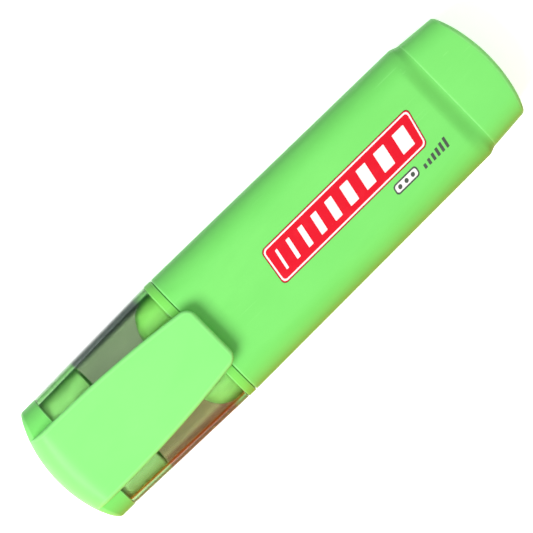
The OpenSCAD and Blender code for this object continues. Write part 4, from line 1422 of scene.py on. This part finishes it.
def make_card(name, y, height, tint, glow):
    """A card that stands along the pen, out of the camera's sight, and deepens the pen's edges as
    in a studio: a quarter arc in side view, from near the pen's side, just over the floor, out by
    the sine and up by one minus the cosine."""
    rows, cols = 13, 21
    a = np.radians(np.linspace(0, 90, rows))[:, None]
    x = np.linspace(-0.25, 0.25, cols)[None, :]
    clear, lift = 4 * MM, 1.2 * MM
    near = math.copysign(HALF_WIDTH + clear, y)
    lean = near + (y - near) * np.sin(a)
    rise = lift + height * (1 - np.cos(a))
    grid = np.stack([x + 0 * a, lean + 0 * x, rise + 0 * x], axis=2)
    i, j = np.arange(rows - 1)[:, None] * cols, np.arange(cols - 1)[None, :]
    quads = np.stack([i + j, i + j + 1, i + j + cols + 1, i + j + cols], axis=2).reshape(-1, 4)
    mesh = bpy.data.meshes.new(name)
    mesh.from_pydata(grid.reshape(-1, 3).tolist(), [], quads.tolist())
    mat, _, shader, _ = start_material(
        name, ink_group(), 0.01 * MM, Colour=tint, Thin_Colour=deeper(tint, (0.9, 0.9, 0.9)),
    )
    shader.inputs["Specular IOR Level"].default_value = 0
    shader.inputs["Emission Color"].default_value = (1, 0.3, 0, 1)
    shader.inputs["Emission Strength"].default_value = glow
    mesh.materials.append(mat)
    card = bpy.data.objects.new(name, mesh)
    card.visible_camera = False
    card.visible_shadow = False
    bpy.context.scene.collection.objects.link(card)
    return card


def softbox(name, place, size, power):
    """A rectangular lamp at place that faces the pen."""
    lamp = bpy.data.lights.new(name, "AREA")
    lamp.shape = "RECTANGLE"
    lamp.size, lamp.size_y = size
    lamp.energy = power
    obj = bpy.data.objects.new(name, lamp)
    obj.location = place
    obj.rotation_mode = "QUATERNION"
    obj.rotation_quaternion = (-Vector(place)).to_track_quat("-Z", "Y")
    bpy.context.scene.collection.objects.link(obj)


def aim_camera(scene, st):
    """The camera looks down on the pen's face, leaning by tilt towards +Y, and is rolled so that
    the pen is turned in the view."""
    cam = bpy.data.cameras.new("camera")
    cam.lens, cam.sensor_width = st.lens, 36
    back = Vector((0, math.sin(st.tilt), math.cos(st.tilt)))
    right = Vector((math.cos(st.turn), -math.sin(st.turn), 0))
    right = (right - back * right.dot(back)).normalized()
    up = back.cross(right)
    distance = st.width * st.lens / cam.sensor_width
    middle = Vector(((CAD_BOX[0].x + CAD_BOX[1].x) / 2, st.shift, AXIS_Z + HALF_THICK * 0.3))
    place = middle - right * st.aside + back * distance
    obj = bpy.data.objects.new("camera", cam)
    obj.matrix_world = Matrix.Translation(place) @ Matrix((right, up, back)).transposed().to_4x4()
    cam.clip_start, cam.clip_end = 0.01, 20
    scene.collection.objects.link(obj)
    scene.camera = obj


class HIGHLIGHTER_PT_pieces(Panel):
    """Lists the pieces and their settings"""

    bl_label = "Flat Highlighter"
    bl_idname = "HIGHLIGHTER_PT_pieces"
    bl_space_type = "VIEW_3D"
    bl_region_type = "UI"
    bl_category = "Highlighter"

    def draw(self, context):
        layout = self.layout
        for operator in OPERATORS:
            layout.operator(operator.bl_idname)
        for name, group in SETTINGS:
            box = layout.box()
            box.label(text=name.replace("_", " ").title())
            settings = getattr(context.scene, name)
            for key in group.__annotations__:
                box.prop(settings, key)


SETTINGS = (
    ("highlighter_body", HighlighterBody),
    ("highlighter_cap", HighlighterCap),
    ("highlighter_clip", HighlighterClip),
    ("highlighter_print", HighlighterPrint),
    ("highlighter_finish", HighlighterFinish),
    ("highlighter_stage", HighlighterStage),
)
OPERATORS = (
    HIGHLIGHTER_OT_barrel,
    HIGHLIGHTER_OT_tail,
    HIGHLIGHTER_OT_section,
    HIGHLIGHTER_OT_nib,
    HIGHLIGHTER_OT_reservoir,
    HIGHLIGHTER_OT_sleeve,
    HIGHLIGHTER_OT_head,
    HIGHLIGHTER_OT_cup,
    HIGHLIGHTER_OT_clip,
    HIGHLIGHTER_OT_print,
    HIGHLIGHTER_OT_stage,
)
CLASSES = tuple(group for _, group in SETTINGS) + OPERATORS + (HIGHLIGHTER_PT_pieces,)


def register():
    for cls in CLASSES:
        bpy.utils.register_class(cls)
    for name, group in SETTINGS:
        setattr(bpy.types.Scene, name, PointerProperty(type=group))


def unregister():
    for name, _ in SETTINGS:
        delattr(bpy.types.Scene, name)
    for cls in reversed(CLASSES):
        bpy.utils.unregister_class(cls)


def main():
    register()
    ops = bpy.ops.highlighter
    for build in (ops.barrel, ops.tail, ops.section, ops.nib, ops.reservoir, ops.sleeve, ops.head,
                  ops.cup, ops.clip, ops.print, ops.stage):
        if build() != {"FINISHED"}:
            raise RuntimeError("a piece wasn't finished")
    bpy.context.view_layer.update()


if __name__ == "__main__":
    main()
